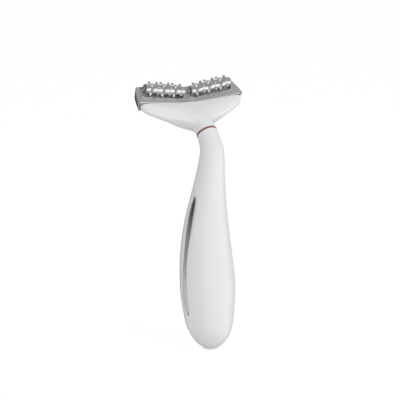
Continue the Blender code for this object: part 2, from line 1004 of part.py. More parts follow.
def roller(name, first_turn, collection, cutters, mount, material):
    """A chrome roller with studs, bored for its axle and its two bushes."""
    half = roller_half_length
    seat = half - bush_length
    barrel = [(barrel_radius(spot), spot) for spot in barrel_places()]
    profile = [
        (bush_radius + pin_fit, half),
        (roller_end_radius, half),
        *barrel,
        (roller_end_radius, -half),
        (bush_radius + pin_fit, -half),
        (bush_radius + pin_fit, -seat),
        (roller_bore, -seat),
        (roller_bore, seat),
        (bush_radius + pin_fit, seat),
    ]
    obj = turned_object(name, profile, True, roller_sides, collection, material, parent=mount)
    return add(obj, roller_studs(name + "_studs", first_turn, cutters, mount))


def axle(name, collection, mount, material):
    """The pin a roller turns on."""
    reach = axle_reach()
    mesh = rod_mesh(name, axle_radius, -reach, reach, 16)
    return smooth(place(name, mesh, collection, material, parent=mount))


def bush(name, end, collection, mount, material):
    """A plain bearing pressed into one end of a roller."""
    near, far = sorted((end * (roller_half_length - bush_length + pin_fit), end * roller_half_length))
    profile = [
        (axle_radius + pin_fit, far),
        (bush_radius, far),
        (bush_radius, near),
        (axle_radius + pin_fit, near),
    ]
    return turned_object(name, profile, True, 20, collection, material, parent=mount)


def battery_cell(collection, material):
    """The round cell, with its raised cap."""
    profile = [
        (0, cell_length),
        (cell_cap_radius, cell_length),
        (cell_cap_radius, cell_length - cell_cap_height),
        (cell_radius, cell_length - cell_cap_height),
        (cell_radius, 0),
        (0, 0),
    ]
    return turned_object(
        "battery_cell", profile, False, 28, collection, material, location=(0, cell_setback, cell_bottom)
    )


def cradle_face():
    """How far back the cradle's spine begins."""
    return cell_setback + cell_radius + gap


def battery_cradle(collection, cutters, material):
    """A spine between cell and main board, with stops for the cell and posts for the board."""
    face = cradle_face()
    low = cell_bottom - gap
    high = cell_bottom + cell_length + gap
    back = face + sheet
    corner = (-cradle_half_width, face, low - sheet)
    mesh = block_mesh("battery_cradle", corner, (cradle_half_width, back, high + sheet))
    obj = place("battery_cradle", mesh, collection, material)
    for word, start, end in (("lower", low - sheet, low), ("upper", high, high + sheet)):
        corner = (-cell_radius / 2, face - cradle_stop_reach, start)
        mesh = block_mesh("cradle_stop_" + word, corner, (cell_radius / 2, face + sheet / 2, end))
        add(obj, place("cradle_stop_" + word, mesh, cutters, None))
    for word, height in post_heights():
        name = "cradle_post_" + word
        mesh = rod_mesh(name, post_radius, face + sheet / 2, board_setback - gap, 16, back_turn())
        add(obj, place(name, mesh, cutters, None, location=(0, 0, height)))
    for word, height in post_heights():
        cut(obj, screw_hole("cradle_hole_" + word, height, cutters))
    return obj


def post_heights():
    """Heights of the two posts that carry the main board."""
    return (
        ("lower", board_bottom + screw_margin / 2),
        ("upper", cell_bottom + cell_length - screw_margin / 2),
    )


def screw_hole(name, height, cutters):
    """A hole through post and board for a screw."""
    start = cell_setback + cell_radius - wall
    end = board_setback + 2 * board_thickness
    mesh = rod_mesh(name, screw_radius + pin_fit, start, end, 12, back_turn())
    return place(name, mesh, cutters, None, location=(0, 0, height))


def board_screw(name, height, collection, cutters, material):
    """A round-headed screw that holds the main board to a post."""
    under = board_setback + board_thickness + gap
    over = under + screw_head_height
    tip = under + screw_head_height / 2 - screw_length
    mesh = rod_mesh(name, screw_radius, tip, over - screw_head_height / 2, 12, back_turn())
    obj = smooth(place(name, mesh, collection, material, location=(0, 0, height)))
    round_name = name + "_head"
    mesh = rod_mesh(round_name, screw_head_radius, under, over, 16, back_turn(), screw_head_radius / 1.5)
    return add(obj, place(round_name, mesh, cutters, None, location=(0, 0, height)))


def main_board(collection, cutters, material):
    """The upright board behind the cell."""
    low = (-board_half_width, board_setback, board_bottom)
    high = (board_half_width, board_setback + board_thickness, board_top)
    obj = place("main_board", block_mesh("main_board", low, high), collection, material)
    for word, height in post_heights():
        cut(obj, screw_hole("board_hole_" + word, height, cutters))
    return obj


def switch_face():
    """How far back the switch reaches."""
    return board_setback + board_thickness + gap + switch_height


def tact_switch(collection, cutters, material):
    """The switch on the board, bored for its plunger."""
    half = switch_size / 2
    face = switch_face()
    mesh = block_mesh("tact_switch", (-half, face - switch_height, -half), (half, face, half))
    obj = place("tact_switch", mesh, collection, material, location=(0, 0, button_height))
    depth = plunger_depth + button_travel + gap
    bore = plunger_radius + slide_gap
    mesh = rod_mesh("plunger_hole", bore, face - depth, face + wall, 16, back_turn())
    return cut(obj, place("plunger_hole", mesh, cutters, None, location=(0, 0, button_height)))


def switch_plunger(collection, material):
    """The short pin between switch and button."""
    start = switch_face() - plunger_depth
    mesh = rod_mesh("switch_plunger", plunger_radius, start, button_back() - pin_fit, 16, back_turn())
    return smooth(place("switch_plunger", mesh, collection, material, location=(0, 0, button_height)))


def button_back():
    """How far back the button's inner face is."""
    return button_stop() - button_flange


def button_stop():
    """Where the button's flange meets the inside of the shell, at its nearest."""
    _, _, radius, _ = handle_row_at(button_height)
    flange = button_radius + button_flange
    inner = radius - wall
    return button_surface() - radius + math.sqrt(inner * inner - flange * flange) - gap - wall / 4


def power_button(collection, cutters, material):
    """The round button in the back shell, kept in by a flange."""
    top = button_surface() + button_proud
    back = button_back()
    mesh = rod_mesh("power_button", button_radius, back + button_flange / 2, top, 24, back_turn())
    obj = smooth(place("power_button", mesh, collection, material, location=(0, 0, button_height)))
    reach = button_radius + button_flange
    rim = rod_mesh("button_rim", reach, back, back + button_flange, 24, back_turn())
    return add(obj, place("button_rim", rim, cutters, None, location=(0, 0, button_height)))


def status_light_pipe(collection, material):
    """A clear pin that brings the status light to the surface."""
    start = board_setback + board_thickness + gap
    mesh = rod_mesh("status_light_pipe", pipe_radius, start, pipe_surface() - gap / 3, 12, back_turn())
    return smooth(place("status_light_pipe", mesh, collection, material, location=(0, 0, pipe_height)))


def charging_socket(collection, cutters, material):
    """The metal socket in the base: a flat tube closed at its inner end, with a tongue."""
    top = socket_mouth + socket_length
    mesh = slot_mesh("charging_socket", socket_half_width, socket_half_depth, socket_mouth, top)
    obj = place("charging_socket", mesh, collection, material)
    inner = slot_mesh(
        "socket_space",
        socket_half_width - socket_shell,
        socket_half_depth - socket_shell,
        0,
        top - 2 * socket_shell,
    )
    cut(obj, place("socket_space", inner, cutters, None))
    low = (-tongue_half_width, -tongue_half_depth, top - 2 * socket_shell - tongue_length)
    tongue = block_mesh("socket_tongue", low, (tongue_half_width, tongue_half_depth, top - socket_shell))
    return add(obj, place("socket_tongue", tongue, cutters, None))


def charge_board(collection, material):
    """The small board the socket is fixed to."""
    start = socket_half_depth + gap
    low = (-charge_board_half_width, start, floor_height + gap)
    high = (charge_board_half_width, start + sheet, floor_height + gap + charge_board_length)
    return place("charge_board", block_mesh("charge_board", low, high), collection, material)


def port_plug(collection, cutters, material):
    """The soft plug that closes the socket: a disc with a tab, and a hollow stem."""
    mesh = rod_mesh("port_plug", plug_radius, 0, plug_thickness, 32)
    obj = smooth(place("port_plug", mesh, collection, material))
    corner = (plug_radius + plug_tab / 2, plug_tab, plug_thickness / 2)
    tab = block_mesh("plug_tab", (0, -plug_tab, 0), corner)
    add(obj, place("plug_tab", tab, cutters, None))
    fit = socket_shell + slide_gap
    end = socket_mouth + plug_reach
    stem_width = socket_half_width - fit
    stem = slot_mesh("plug_stem", stem_width, socket_half_depth - fit, plug_thickness / 2, end)
    add(obj, place("plug_stem", stem, cutters, None))
    slot = block_mesh(
        "plug_slot",
        (-tongue_half_width - slide_gap, -tongue_half_depth - slide_gap, plug_thickness + gap),
        (tongue_half_width + slide_gap, tongue_half_depth + slide_gap, end + gap),
    )
    return cut(obj, place("plug_slot", slot, cutters, None))


def cables(collection, grey, red):
    """The wires inside: cell to board, charge board to main board and main board to head."""
    top = cell_bottom + cell_length
    board_front = board_setback - gap
    bend = cable_radius * 3
    cell_top = top + gap + wire_radius
    for name, side, material in (("battery_wire_red", 1, red), ("battery_wire_black", -1, grey)):
        start = Vector((side * cell_radius * 0.7, cell_setback, cell_top))
        out = Vector((side * cell_radius * 0.7, cell_setback + cell_radius / 2, cell_top + bend))
        end = Vector((side * cell_radius * 0.7, board_front, cell_top + 2 * bend))
        wire_object(name, [start, out, end], wire_radius, collection, material)
    start_y = socket_half_depth + gap + sheet
    low = floor_height + gap + charge_board_length
    back = board_setback + board_thickness / 2
    points = [
        Vector((0, start_y - sheet / 2, low + gap + wire_radius)),
        Vector((0, back, low + gap + 2 * wire_radius)),
        Vector((0, back, board_bottom - gap)),
    ]
    wire_object("charge_cable", points, wire_radius, collection, grey)
    start = Vector((0, board_setback + board_thickness / 2, board_top + gap))
    points = [start, Vector((0, 0.6 * board_setback, board_top + 3 * bend))]
    for row in all_handle_rows()[-4:]:
        points.append(Vector((0, row[1], row[0])))
    points.append(ring_centre())
    points.append(ring_centre() + axis_of(neck_lean) * (tube_above + 2 * cable_radius))
    head = head_matrix()
    for row in head_rows[4::3]:
        points.append(head @ Vector((0, row[0], row[1] - row[5] / 3)))
    wire_object("head_cable", points, cable_radius, collection, grey)


def roller_mounts(collection, head):
    """The frames of the two rollers: Z along the axle outwards, Y out of the face."""
    mounts = []
    for word, side in (("left", -1), ("right", 1)):
        tilt = math.radians(roller_tilt)
        toe = math.radians(roller_toe)
        across = side * math.cos(tilt) * math.cos(toe)
        along = Vector((across, math.sin(toe), math.sin(tilt))).normalized()
        out = Vector((0, 0, 1))
        out = (out - out.dot(along) * along).normalized()
        turn = Matrix((out.cross(along), out, along)).transposed().to_4x4()
        centre = Vector((side * roller_across, roller_along, valley(roller_across) + roller_rise))
        matrix = Matrix.Translation(centre) @ turn
        mounts.append((word, frame_empty(f"roller_mount_{word}", collection, head, matrix)))
    return mounts


def build():
    """The whole massager."""
    clear_scene()
    parts = new_collection(object_name, False)
    cutters = new_collection("cutters", True)
    white = white_plastic()
    shiny = chrome()
    metal = steel()
    board = circuit_board()
    lens = milky_lens()
    silicone = clear_silicone()
    inner = grey_plastic()
    neck_matrix = Matrix.Translation(ring_centre()) @ Matrix.Rotation(-math.radians(neck_lean), 4, "X")
    neck = frame_empty("neck_frame", parts, None, neck_matrix)
    head = frame_empty("head_frame", parts, None, head_matrix())
    mounts = roller_mounts(parts, head)
    handle_front_shell(parts, cutters, white)
    handle_back_shell(parts, cutters, white)
    electrode_strip("electrode_strip_left", -1, parts, shiny)
    electrode_strip("electrode_strip_right", 1, parts, shiny)
    strip_contact("strip_contact_left", -1, parts, metal)
    strip_contact("strip_contact_right", 1, parts, metal)
    trim_ring(parts, neck, rose_metal())
    neck_tube(parts, neck, inner)
    head_housing(parts, cutters, head, white)
    roller_frame(parts, cutters, head, mounts, shiny)
    bearing = slippery_plastic()
    turns = {"left": left_stud_turn, "right": right_stud_turn}
    for word, mount in mounts:
        roller(f"roller_{word}", turns[word], parts, cutters, mount, shiny)
        axle(f"axle_{word}", parts, mount, metal)
        bush(f"bush_{word}_inner", -1, parts, mount, bearing)
        bush(f"bush_{word}_outer", 1, parts, mount, bearing)
        led_lens(f"led_lens_{word}", parts, cutters, mount, lens)
        led_board(f"led_board_{word}", parts, cutters, mount, board)
    battery_cell(parts, cell_wrap())
    battery_cradle(parts, cutters, inner)
    main_board(parts, cutters, board)
    for word, height in post_heights():
        board_screw(f"board_screw_{word}", height, parts, cutters, metal)
    tact_switch(parts, cutters, inner)
    switch_plunger(parts, inner)
    power_button(parts, cutters, white)
    status_light_pipe(parts, lens)
    charging_socket(parts, cutters, metal)
    charge_board(parts, board)
    port_plug(parts, cutters, silicone)
    cables(parts, cable_skin(), red_cable_skin())


build()
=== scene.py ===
"""Looks of a hand-held facial massager, laid out as an add-on with one operator for each piece or group.

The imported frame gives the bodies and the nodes, and the sizes here follow it. The white handle, the chrome
strips, the rose ring, the white head, the chrome roller frame and the studded rollers are modelled anew in
their places; the inner parts keep their own shape and get materials."""

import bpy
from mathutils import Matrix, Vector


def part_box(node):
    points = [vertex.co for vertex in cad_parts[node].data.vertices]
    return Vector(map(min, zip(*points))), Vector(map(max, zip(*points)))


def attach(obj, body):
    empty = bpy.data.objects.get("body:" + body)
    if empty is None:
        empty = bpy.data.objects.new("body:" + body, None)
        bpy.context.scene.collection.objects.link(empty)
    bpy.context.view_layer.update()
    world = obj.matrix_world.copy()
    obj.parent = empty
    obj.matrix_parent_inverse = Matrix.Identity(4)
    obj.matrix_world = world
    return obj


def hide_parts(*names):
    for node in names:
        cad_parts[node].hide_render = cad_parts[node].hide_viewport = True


bl_info = {
    "name": "Facial massager looks",
    "version": (1, 0, 0),
    "blender": (4, 5, 0),
    "location": "3D View > Sidebar > Massager",
    "description": "Models the visible pieces of a facial massager round its frame",
    "category": "Object",
}

import math

import bmesh
import bpy
from bpy.props import FloatProperty, FloatVectorProperty, IntProperty, PointerProperty
from mathutils import Matrix, Vector

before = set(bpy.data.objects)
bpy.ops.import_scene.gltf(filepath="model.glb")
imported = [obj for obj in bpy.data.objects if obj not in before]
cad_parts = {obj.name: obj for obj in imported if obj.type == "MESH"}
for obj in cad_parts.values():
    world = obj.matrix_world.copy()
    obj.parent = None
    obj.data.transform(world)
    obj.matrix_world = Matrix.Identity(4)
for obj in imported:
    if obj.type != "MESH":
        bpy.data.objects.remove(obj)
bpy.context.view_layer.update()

# Handle: height, setback of the centre line, radius and lean in degrees
HANDLE_ROWS = (
    (0.0013, 0.0, 0.0059, 0.0),
    (0.0030, 0.0001, 0.0083, 0.0),
    (0.0064, 0.0002, 0.0112, 0.0),
    (0.0105, 0.0006, 0.0135, 0.0),
    (0.0160, 0.0014, 0.0155, 0.0),
    (0.0240, 0.0021, 0.0169, 0.0),
    (0.0360, 0.0032, 0.0181, 0.0),
    (0.0480, 0.0040, 0.0183, 0.0),
    (0.0620, 0.0052, 0.0174, 0.0),
    (0.0760, 0.0056, 0.0158, 0.0),
    (0.0900, 0.0049, 0.0138, 0.0),
    (0.1040, 0.0029, 0.0115, 0.0),
    (0.1180, 0.0006, 0.0094, 0.0),
    (0.1290, -0.0010, 0.0082, 3.0),
    (0.1360, -0.0007, 0.0075, 14.0),
    (0.1412, 0.0018, 0.0070, 31.0),
)
# Side strips: share of the length, share of the half width, degrees towards the front
STRIP_ROWS = (
    (0.0, 0.10, 2.0),
    (0.05, 0.80, 2.0),
    (0.18, 0.90, 1.5),
    (0.35, 0.78, 2.5),
    (0.53, 0.74, 5.5),
    (0.74, 1.0, 8.5),
    (0.90, 0.95, 8.5),
    (0.96, 0.66, 8.0),
    (1.0, 0.10, 7.0),
)
# Head housing: along the face, middle height, half width, rise, rise power, fall, fall power
HEAD_ROWS = (
    (-0.0292, -0.0016, 0.00675, 0.0063, 2.0, 0.0068, 2.0),
    (-0.0268, -0.0015, 0.0070, 0.0061, 2.0, 0.0073, 2.0),
    (-0.0250, -0.0017, 0.0083, 0.0060, 2.0, 0.0079, 2.0),
    (-0.0234, -0.0020, 0.0108, 0.0061, 2.0, 0.0084, 2.0),
    (-0.0219, -0.0025, 0.0146, 0.0063, 2.0, 0.0086, 1.9),
    (-0.0201, -0.0030, 0.0198, 0.0064, 2.0, 0.0086, 1.7),
    (-0.0182, -0.0034, 0.0243, 0.0063, 2.1, 0.0085, 1.5),
    (-0.0165, -0.0036, 0.0282, 0.0061, 2.2, 0.0085, 1.4),
    (-0.0148, -0.0037, 0.0320, 0.0058, 2.4, 0.0085, 1.4),
    (-0.0127, -0.0038, 0.0359, 0.0053, 2.8, 0.0085, 1.5),
    (-0.0106, -0.0038, 0.0377, 0.0047, 3.4, 0.0085, 1.7),
    (-0.0080, -0.0038, 0.0388, 0.0040, 4.6, 0.0085, 1.9),
)
# The housing under the frame: along the face, half width, fall below the frame
TAIL_ROWS = (
    (-0.0070, 0.0366, 0.0079),
    (0.0, 0.0354, 0.0077),
    (0.0040, 0.0343, 0.0066),
    (0.0063, 0.0332, 0.0046),
    (0.0073, 0.0323, 0.0026),
    (0.00765, 0.0311, 0.0010),
)
# Roller frame: along the face, half width
PLATE_ROWS = (
    (-0.00765, 0.0407),
    (-0.0040, 0.0401),
    (0.0, 0.0393),
    (0.0040, 0.0382),
    (0.0063, 0.0371),
    (0.0073, 0.0360),
    (0.00765, 0.0346),
)
# Stud: share of its radius, share of its height, from its sunk foot to where its round top begins
STUD_ROWS = (
    (0, -0.45),
    (1.25, -0.45),
    (1.2, -0.1),
    (1.0, 0.08),
    (0.88, 0.3),
    (0.80, 0.6),
)
# Lean of the neck from upright and slope of the face from level, in degrees
NECK_LEAN = 43.0
FACE_SLOPE = 38.4
# Middle of the neck ring, and of the face that carries the rollers
RING_PLACE = Vector((0, 0.0048, 0.1454))
FACE_PLACE = Vector((0, 0.0287, 0.1671))
# Power of the housing's curve under the frame, where 2 is an ellipse
TAIL_POWER = 2.1
# Shares of a groove's length at which the handle gets a row of its own
GROOVE_SHARES = (0, 0.004, 0.01, 0.02, 0.03, 0.04, 0.05, 0.95, 0.96, 0.97, 0.98, 0.99, 0.996, 1)
# Angle beside the seam where the handle's points are dense, and that of a groove's steep side, in radians
DENSE_ANGLE = 0.45
GROOVE_SIDE = 0.0015
# Narrowest half of a groove that is cut, in gaps
NARROWEST_GROOVE = 1.5
# Half the neck ring's width over the rounding of its edges
RING_FLATNESS = 1.6
# How far the housing's rows keep from its end, in grooves
CLEAR_OF_GROOVE = 1.2
# Rounding of a well's corners at its outer and at its inner end
OUTER_CORNER = 0.0014
INNER_CORNER = 0.0036
# How squarely a face of the roller frame points outwards to be satin
SATIN_SHARE = 0.975
# Half length and half width of the opening for a light window, and of the window
OPENING_HALVES = (0.0098, 0.0018)
WINDOW_HALVES = (0.0095, 0.0015)
# The window's flange: thickness, width, and half length of the window with it
FLANGE_THICKNESS = 0.0008
FLANGE_WIDTH = 0.0010
FLANGE_REACH = 0.0105
# Softened edge of a small moulded piece, and of an end that goes into another piece
SOFT_EDGE = 0.0001
LEAD_EDGE = 0.0003
# A roller's bore: depth of a bush's seat, radius round the axle, chamfer at its mouth
BUSH_SEAT = 0.0022
AXLE_BORE = 0.0011
BORE_CHAMFER = 0.0002
# Power button: width and thickness of its flange, and depth of its dish
BUTTON_FLANGE = 0.0009
BUTTON_DISH = 0.0004
# Base plug: half width of its tab, and half width and half depth of its stem and of the pocket in the stem
TAB_HALF_WIDTH = 0.0012
STEM_HALVES = (0.00392, 0.00108)
POCKET_HALVES = (0.00335, 0.00055)
# Lengths and shares below the first count as nothing; differences below the second come from rounding
TINY = 1e-6
ROUND_OFF = 1e-12
# Range that most of a noise keeps to
NOISE_RANGE = (0.2, 0.8)
# Point that the camera and the lamps face
TARGET = Vector((0, 0.0126, 0.0990))
# Lamps: name, place from the target to the view's right, back and up, and size
LAMPS = (
    ("key", 0.75, 0.70, 0.55, 0.7),
    ("fill", -0.85, 0.50, 0.35, 0.6),
)
# Nearest and farthest place that the camera shows
CLIP_RANGE = (0.01, 200)
# Floor: grey level, roughness, level direction of its lit side, and where along that its light fades in
FLOOR_GREY = 0.90
FLOOR_ROUGHNESS = 0.9
LIT_SIDE = (math.cos(math.radians(34)), -math.sin(math.radians(34)), 0)
LIT_RANGE = (-0.03, 0.05)
# What polished surfaces see at a height of the direction, from level to straight up: height, grey level
SKY_STOPS = ((0.0, 0.95), (0.04, 0.9), (0.16, 0.29), (0.55, 0.28), (1.0, 0.31))
# Cards in front of that: direction, nearness at which a card fades in, heights at which it does, grey level
SKY_CARDS = (
    # Dim side to the left behind, and the floor under it
    ((-0.6, 0.8, 0), (0.30, 0.70), ((0.5, 0.25),), 0.20),
    ((-0.6, 0.8, 0), (0.30, 0.70), ((0.5, 0.25), (-0.10, -0.32)), 0.42),
    # Grey to the right behind, and a bright card above it
    ((0.56, 0.83, 0), (0.75, 0.95), (), 0.36),
    ((0.54, 0.70, 0.46), (0.93, 0.97), (), 0.95),
    # Grey low on the right
    ((0.93, 0.30, -0.2), (0.68, 0.95), ((0.15, 0.0),), 0.28),
    # Grey low on the left in front
    ((-0.92, -0.34, -0.2), (0.82, 0.97), (), 0.50),
    # Dark card low behind
    ((0.20, 0.935, -0.29), (0.94, 0.975), (), 0.03),
    # Dark screen to the left behind
    ((-0.79, 0.61, 0), (0.93, 0.985), ((-0.10, -0.04), (0.5, 0.25)), 0.035),
    # Dark straight below
    ((0, 0, -1), (0.55, 0.75), (), 0.08),
)


class MassagerSizes(bpy.types.PropertyGroup):
    """Sizes of the modelled pieces"""
    wall: FloatProperty(
        name="Handle wall", description="Wall of the handle shells", default=0.0018, unit="LENGTH")
    head_wall: FloatProperty(
        name="Head wall", description="Wall of the head housing", default=0.0016, unit="LENGTH")
    seam: FloatProperty(
        name="Seam", description="Gap between the two handle shells", default=0.00006, unit="LENGTH")
    gap: FloatProperty(
        name="Gap", description="Gap between fitted pieces", default=0.0003, unit="LENGTH")
    floor_height: FloatProperty(
        name="Floor", description="Height of the handle's inner floor", default=0.0033, unit="LENGTH")
    strip_bottom: FloatProperty(
        name="Strip bottom", description="Height of a strip's lower end", default=0.0250, unit="LENGTH")
    strip_top: FloatProperty(
        name="Strip top", description="Height of a strip's upper end", default=0.1050, unit="LENGTH")
    strip_half_width: FloatProperty(
        name="Strip half width", description="Largest half width", default=0.0030, unit="LENGTH")
    strip_depth: FloatProperty(
        name="Strip depth", description="Depth below the surface", default=0.0010, unit="LENGTH")
    strip_gap: FloatProperty(
        name="Strip gap", description="Gap round a strip", default=0.00006, unit="LENGTH")
    strip_crown: FloatProperty(
        name="Strip crown", description="How far a strip's middle stands proud", default=0.0003,
        unit="LENGTH")
    neck_radius: FloatProperty(
        name="Neck radius", description="Radius of the neck at the ring", default=0.0067, unit="LENGTH")
    ring_width: FloatProperty(
        name="Ring width", description="Width of the neck ring", default=0.0009, unit="LENGTH")
    ring_radius: FloatProperty(
        name="Ring radius", description="Outer radius of the neck ring", default=0.0069, unit="LENGTH")
    ring_bore: FloatProperty(
        name="Ring bore", description="Inner radius of the neck ring", default=0.0046, unit="LENGTH")
    plate_depth: FloatProperty(
        name="Frame depth", description="Thickness of the roller frame", default=0.0043, unit="LENGTH")
    frame_skirt: FloatProperty(
        name="Frame skirt", description="How much deeper the frame is at its two ends", default=0.0032,
        unit="LENGTH")
    skirt_width: FloatProperty(
        name="Skirt width", description="Width of the deeper part at the frame's ends", default=0.0023,
        unit="LENGTH")
    frame_draft: FloatProperty(
        name="Frame draft", description="How far the frame's ends lean in towards its underside",
        default=0.0020, unit="LENGTH")
    frame_corner: FloatProperty(
        name="Frame corner", description="Rounding of the frame's two near corners", default=0.0010,
        unit="LENGTH")
    lip: FloatProperty(
        name="Lip", description="Width of the housing's lip beside the frame", default=0.0009, unit="LENGTH")
    plate_round: FloatProperty(
        name="Frame rounding", description="Rounding of the frame's edges", default=0.0007, unit="LENGTH")
    valley_slope: FloatProperty(
        name="Valley slope", description="Slope of the face away from its middle", default=7.0)
    valley_round: FloatProperty(
        name="Valley rounding", description="Rounding of the face's middle", default=0.006, unit="LENGTH")
    well_half_width: FloatProperty(
        name="Well half width", description="Half width of a roller's well", default=0.0043, unit="LENGTH")
    well_depth: FloatProperty(
        name="Well depth", description="Depth of a well below its axle", default=0.0062, unit="LENGTH")
    well_rim: FloatProperty(
        name="Well rim", description="Rounding of the well's rim", default=0.00045, unit="LENGTH")
    ear_radius: FloatProperty(
        name="Ear radius", description="Radius of an ear's round top", default=0.0012, unit="LENGTH")
    ear_width: FloatProperty(
        name="Ear width", description="Width of an ear along the axle", default=0.0008, unit="LENGTH")
    axle_radius: FloatProperty(
        name="Axle radius", description="Radius of an axle", default=0.0008, unit="LENGTH")
    roller_across: FloatProperty(
        name="Roller across", description="Distance of a roller's middle from the head's middle",
        default=0.01785, unit="LENGTH")
    roller_along: FloatProperty(
        name="Roller along", description="Place of the rollers up the face", default=0.0020, unit="LENGTH")
    roller_rise: FloatProperty(
        name="Roller rise", description="Height of the axles over the face", default=0.0029, unit="LENGTH")
    roller_tilt: FloatProperty(name="Roller tilt", description="Tilt of the axles in degrees", default=7.5)
    roller_toe: FloatProperty(name="Roller toe", description="Toe of the axles in degrees", default=3.0)
    roller_half_length: FloatProperty(
        name="Roller half length", description="Half of a roller's length", default=0.01485, unit="LENGTH")
    roller_radius: FloatProperty(
        name="Roller radius", description="Radius at a roller's middle", default=0.0035, unit="LENGTH")
    shoulder_radius: FloatProperty(
        name="Shoulder radius", description="Radius near a roller's ends", default=0.0032, unit="LENGTH")
    roller_end_radius: FloatProperty(
        name="End radius", description="Radius of a roller's end face", default=0.0024, unit="LENGTH")
    roller_end_length: FloatProperty(
        name="End length", description="Length of a roller's rounded end", default=0.0013, unit="LENGTH")
    roller_dome: FloatProperty(
        name="Dome", description="How far a roller's end bulges past its bushes", default=0.0006,
        unit="LENGTH")
    bush_radius: FloatProperty(
        name="Bush radius", description="Outer radius of the bushes", default=0.0019, unit="LENGTH")
    stud_radius: FloatProperty(
        name="Stud radius", description="Radius of a stud at its foot", default=0.00105, unit="LENGTH")
    stud_height: FloatProperty(
        name="Stud height", description="Height of a stud", default=0.0015, unit="LENGTH")
    stud_rows: IntProperty(name="Stud rows", description="Rows of studs round a roller", default=12)
    stud_phases: IntProperty(
        name="Stud phases", description="Rows after which the studs stand alike again", default=2)
    left_roller_turn: FloatProperty(
        name="Left roller turn", description="Turn of the left roller at rest in degrees", default=59.0)
    right_roller_turn: FloatProperty(
        name="Right roller turn", description="Turn of the right roller at rest in degrees", default=81.5)
    studs_in_row: IntProperty(name="Studs in a row", description="Studs along one row", default=3)
    stud_pitch: FloatProperty(
        name="Stud pitch", description="Distance of studs in a row", default=0.0092, unit="LENGTH")
    button_height: FloatProperty(
        name="Button height", description="Height of the button's middle", default=0.0840, unit="LENGTH")
    button_radius: FloatProperty(
        name="Button radius", description="Radius of the button", default=0.0042, unit="LENGTH")
    pipe_height: FloatProperty(
        name="Light height", description="Height of the status light", default=0.0935, unit="LENGTH")
    pipe_radius: FloatProperty(
        name="Light radius", description="Radius of the status light", default=0.0009, unit="LENGTH")
    slot_half_width: FloatProperty(
        name="Inlet half width", description="Half width of the inlet hole", default=0.00477, unit="LENGTH")
    slot_half_depth: FloatProperty(
        name="Inlet half depth", description="Half depth of the inlet hole", default=0.00193, unit="LENGTH")
    plug_radius: FloatProperty(
        name="Plug radius", description="Radius of the base plug", default=0.0053, unit="LENGTH")
    plug_thickness: FloatProperty(
        name="Plug thickness", description="Thickness of the plug's disc", default=0.0010, unit="LENGTH")


def colour_property(name, default):
    """A colour that a user may change."""
    return FloatVectorProperty(
        name=name, description=f"Colour of the {name.lower()}", default=default, subtype="COLOR", size=3,
        min=0, max=1)


class MassagerColours(bpy.types.PropertyGroup):
    """Colours of the finishes"""
    shell: colour_property("White plastic", (0.895, 0.888, 0.905))
    chrome: colour_property("Chrome", (0.66, 0.66, 0.67))
    satin: colour_property("Satin plating", (0.56, 0.555, 0.56))
    rose: colour_property("Rose metal", (0.52, 0.21, 0.17))
    steel: colour_property("Steel", (0.50, 0.51, 0.53))
    silicone: colour_property("Clear silicone", (0.86, 0.87, 0.88))
    lens: colour_property("Milky lens", (0.92, 0.82, 0.82))
    bearing: colour_property("Bearing plastic", (0.42, 0.42, 0.43))
    inner: colour_property("Inner plastic", (0.28, 0.29, 0.31))
    board: colour_property("Circuit board", (0.015, 0.13, 0.06))
    cell: colour_property("Cell wrap", (0.04, 0.15, 0.45))
    wire: colour_property("Grey wire", (0.62, 0.62, 0.62))
    red_wire: colour_property("Red wire", (0.60, 0.04, 0.03))


class MassagerStage(bpy.types.PropertyGroup):
    """Floor, lamps and camera"""
    azimuth: FloatProperty(name="Azimuth", description="Camera's turn to the left in degrees", default=34.0)
    elevation: FloatProperty(name="Elevation", description="Camera's height in degrees", default=13.5)
    distance: FloatProperty(
        name="Distance", description="Camera's distance from its target", default=0.75, unit="LENGTH")
    view_width: FloatProperty(
        name="View width", description="Width of the view at the target", default=0.264, unit="LENGTH")
    floor_size: FloatProperty(
        name="Floor size", description="Side of the floor", default=30.0, unit="LENGTH")
    key_power: FloatProperty(name="Key lamp", description="Power of the key lamp", default=3.0)
    fill_power: FloatProperty(name="Fill lamp", description="Power of the fill lamp", default=0.3)
    floor_glow: FloatProperty(
        name="Floor glow", description="Brightness of the floor's own light to the camera", default=1.066)
    floor_glow_share: FloatProperty(
        name="Floor glow share", description="Share of the floor's look that is its own light", default=0.85)
    floor_bounce: FloatProperty(
        name="Floor bounce", description="Share of the floor's own light that reaches dull surfaces",
        default=0.42)
    glint: FloatProperty(name="Glint", description="Brightness of what polished surfaces see", default=1.5)
    sky_level: FloatProperty(name="Sky level", description="Light from all around", default=0.655)


def sizes():
    """The sizes in the scene."""
    return bpy.context.scene.massager_sizes


def colours():
    """The colours in the scene."""
    return bpy.context.scene.massager_colours


def at_rest():
    """Object mode with nothing selected."""
    if bpy.context.mode != "OBJECT":
        bpy.ops.object.mode_set(mode="OBJECT")
    bpy.ops.object.select_all(action="DESELECT")


def pick(obj):
    """Makes one object the selected and active one."""
    at_rest()
    obj.select_set(True)
    bpy.context.view_layer.objects.active = obj
    return obj


def named(name):
    """The object just added, under its name."""
    obj = bpy.context.object
    obj.name = name
    obj.data.name = name
    return obj


def tidy(obj):
    """Merges doubles and turns all faces outwards."""
    pick(obj)
    bpy.ops.object.mode_set(mode="EDIT")
    bpy.ops.mesh.select_all(action="SELECT")
    bpy.ops.mesh.remove_doubles(threshold=TINY)
    bpy.ops.mesh.normals_make_consistent(inside=False)
    bpy.ops.object.mode_set(mode="OBJECT")
    return obj


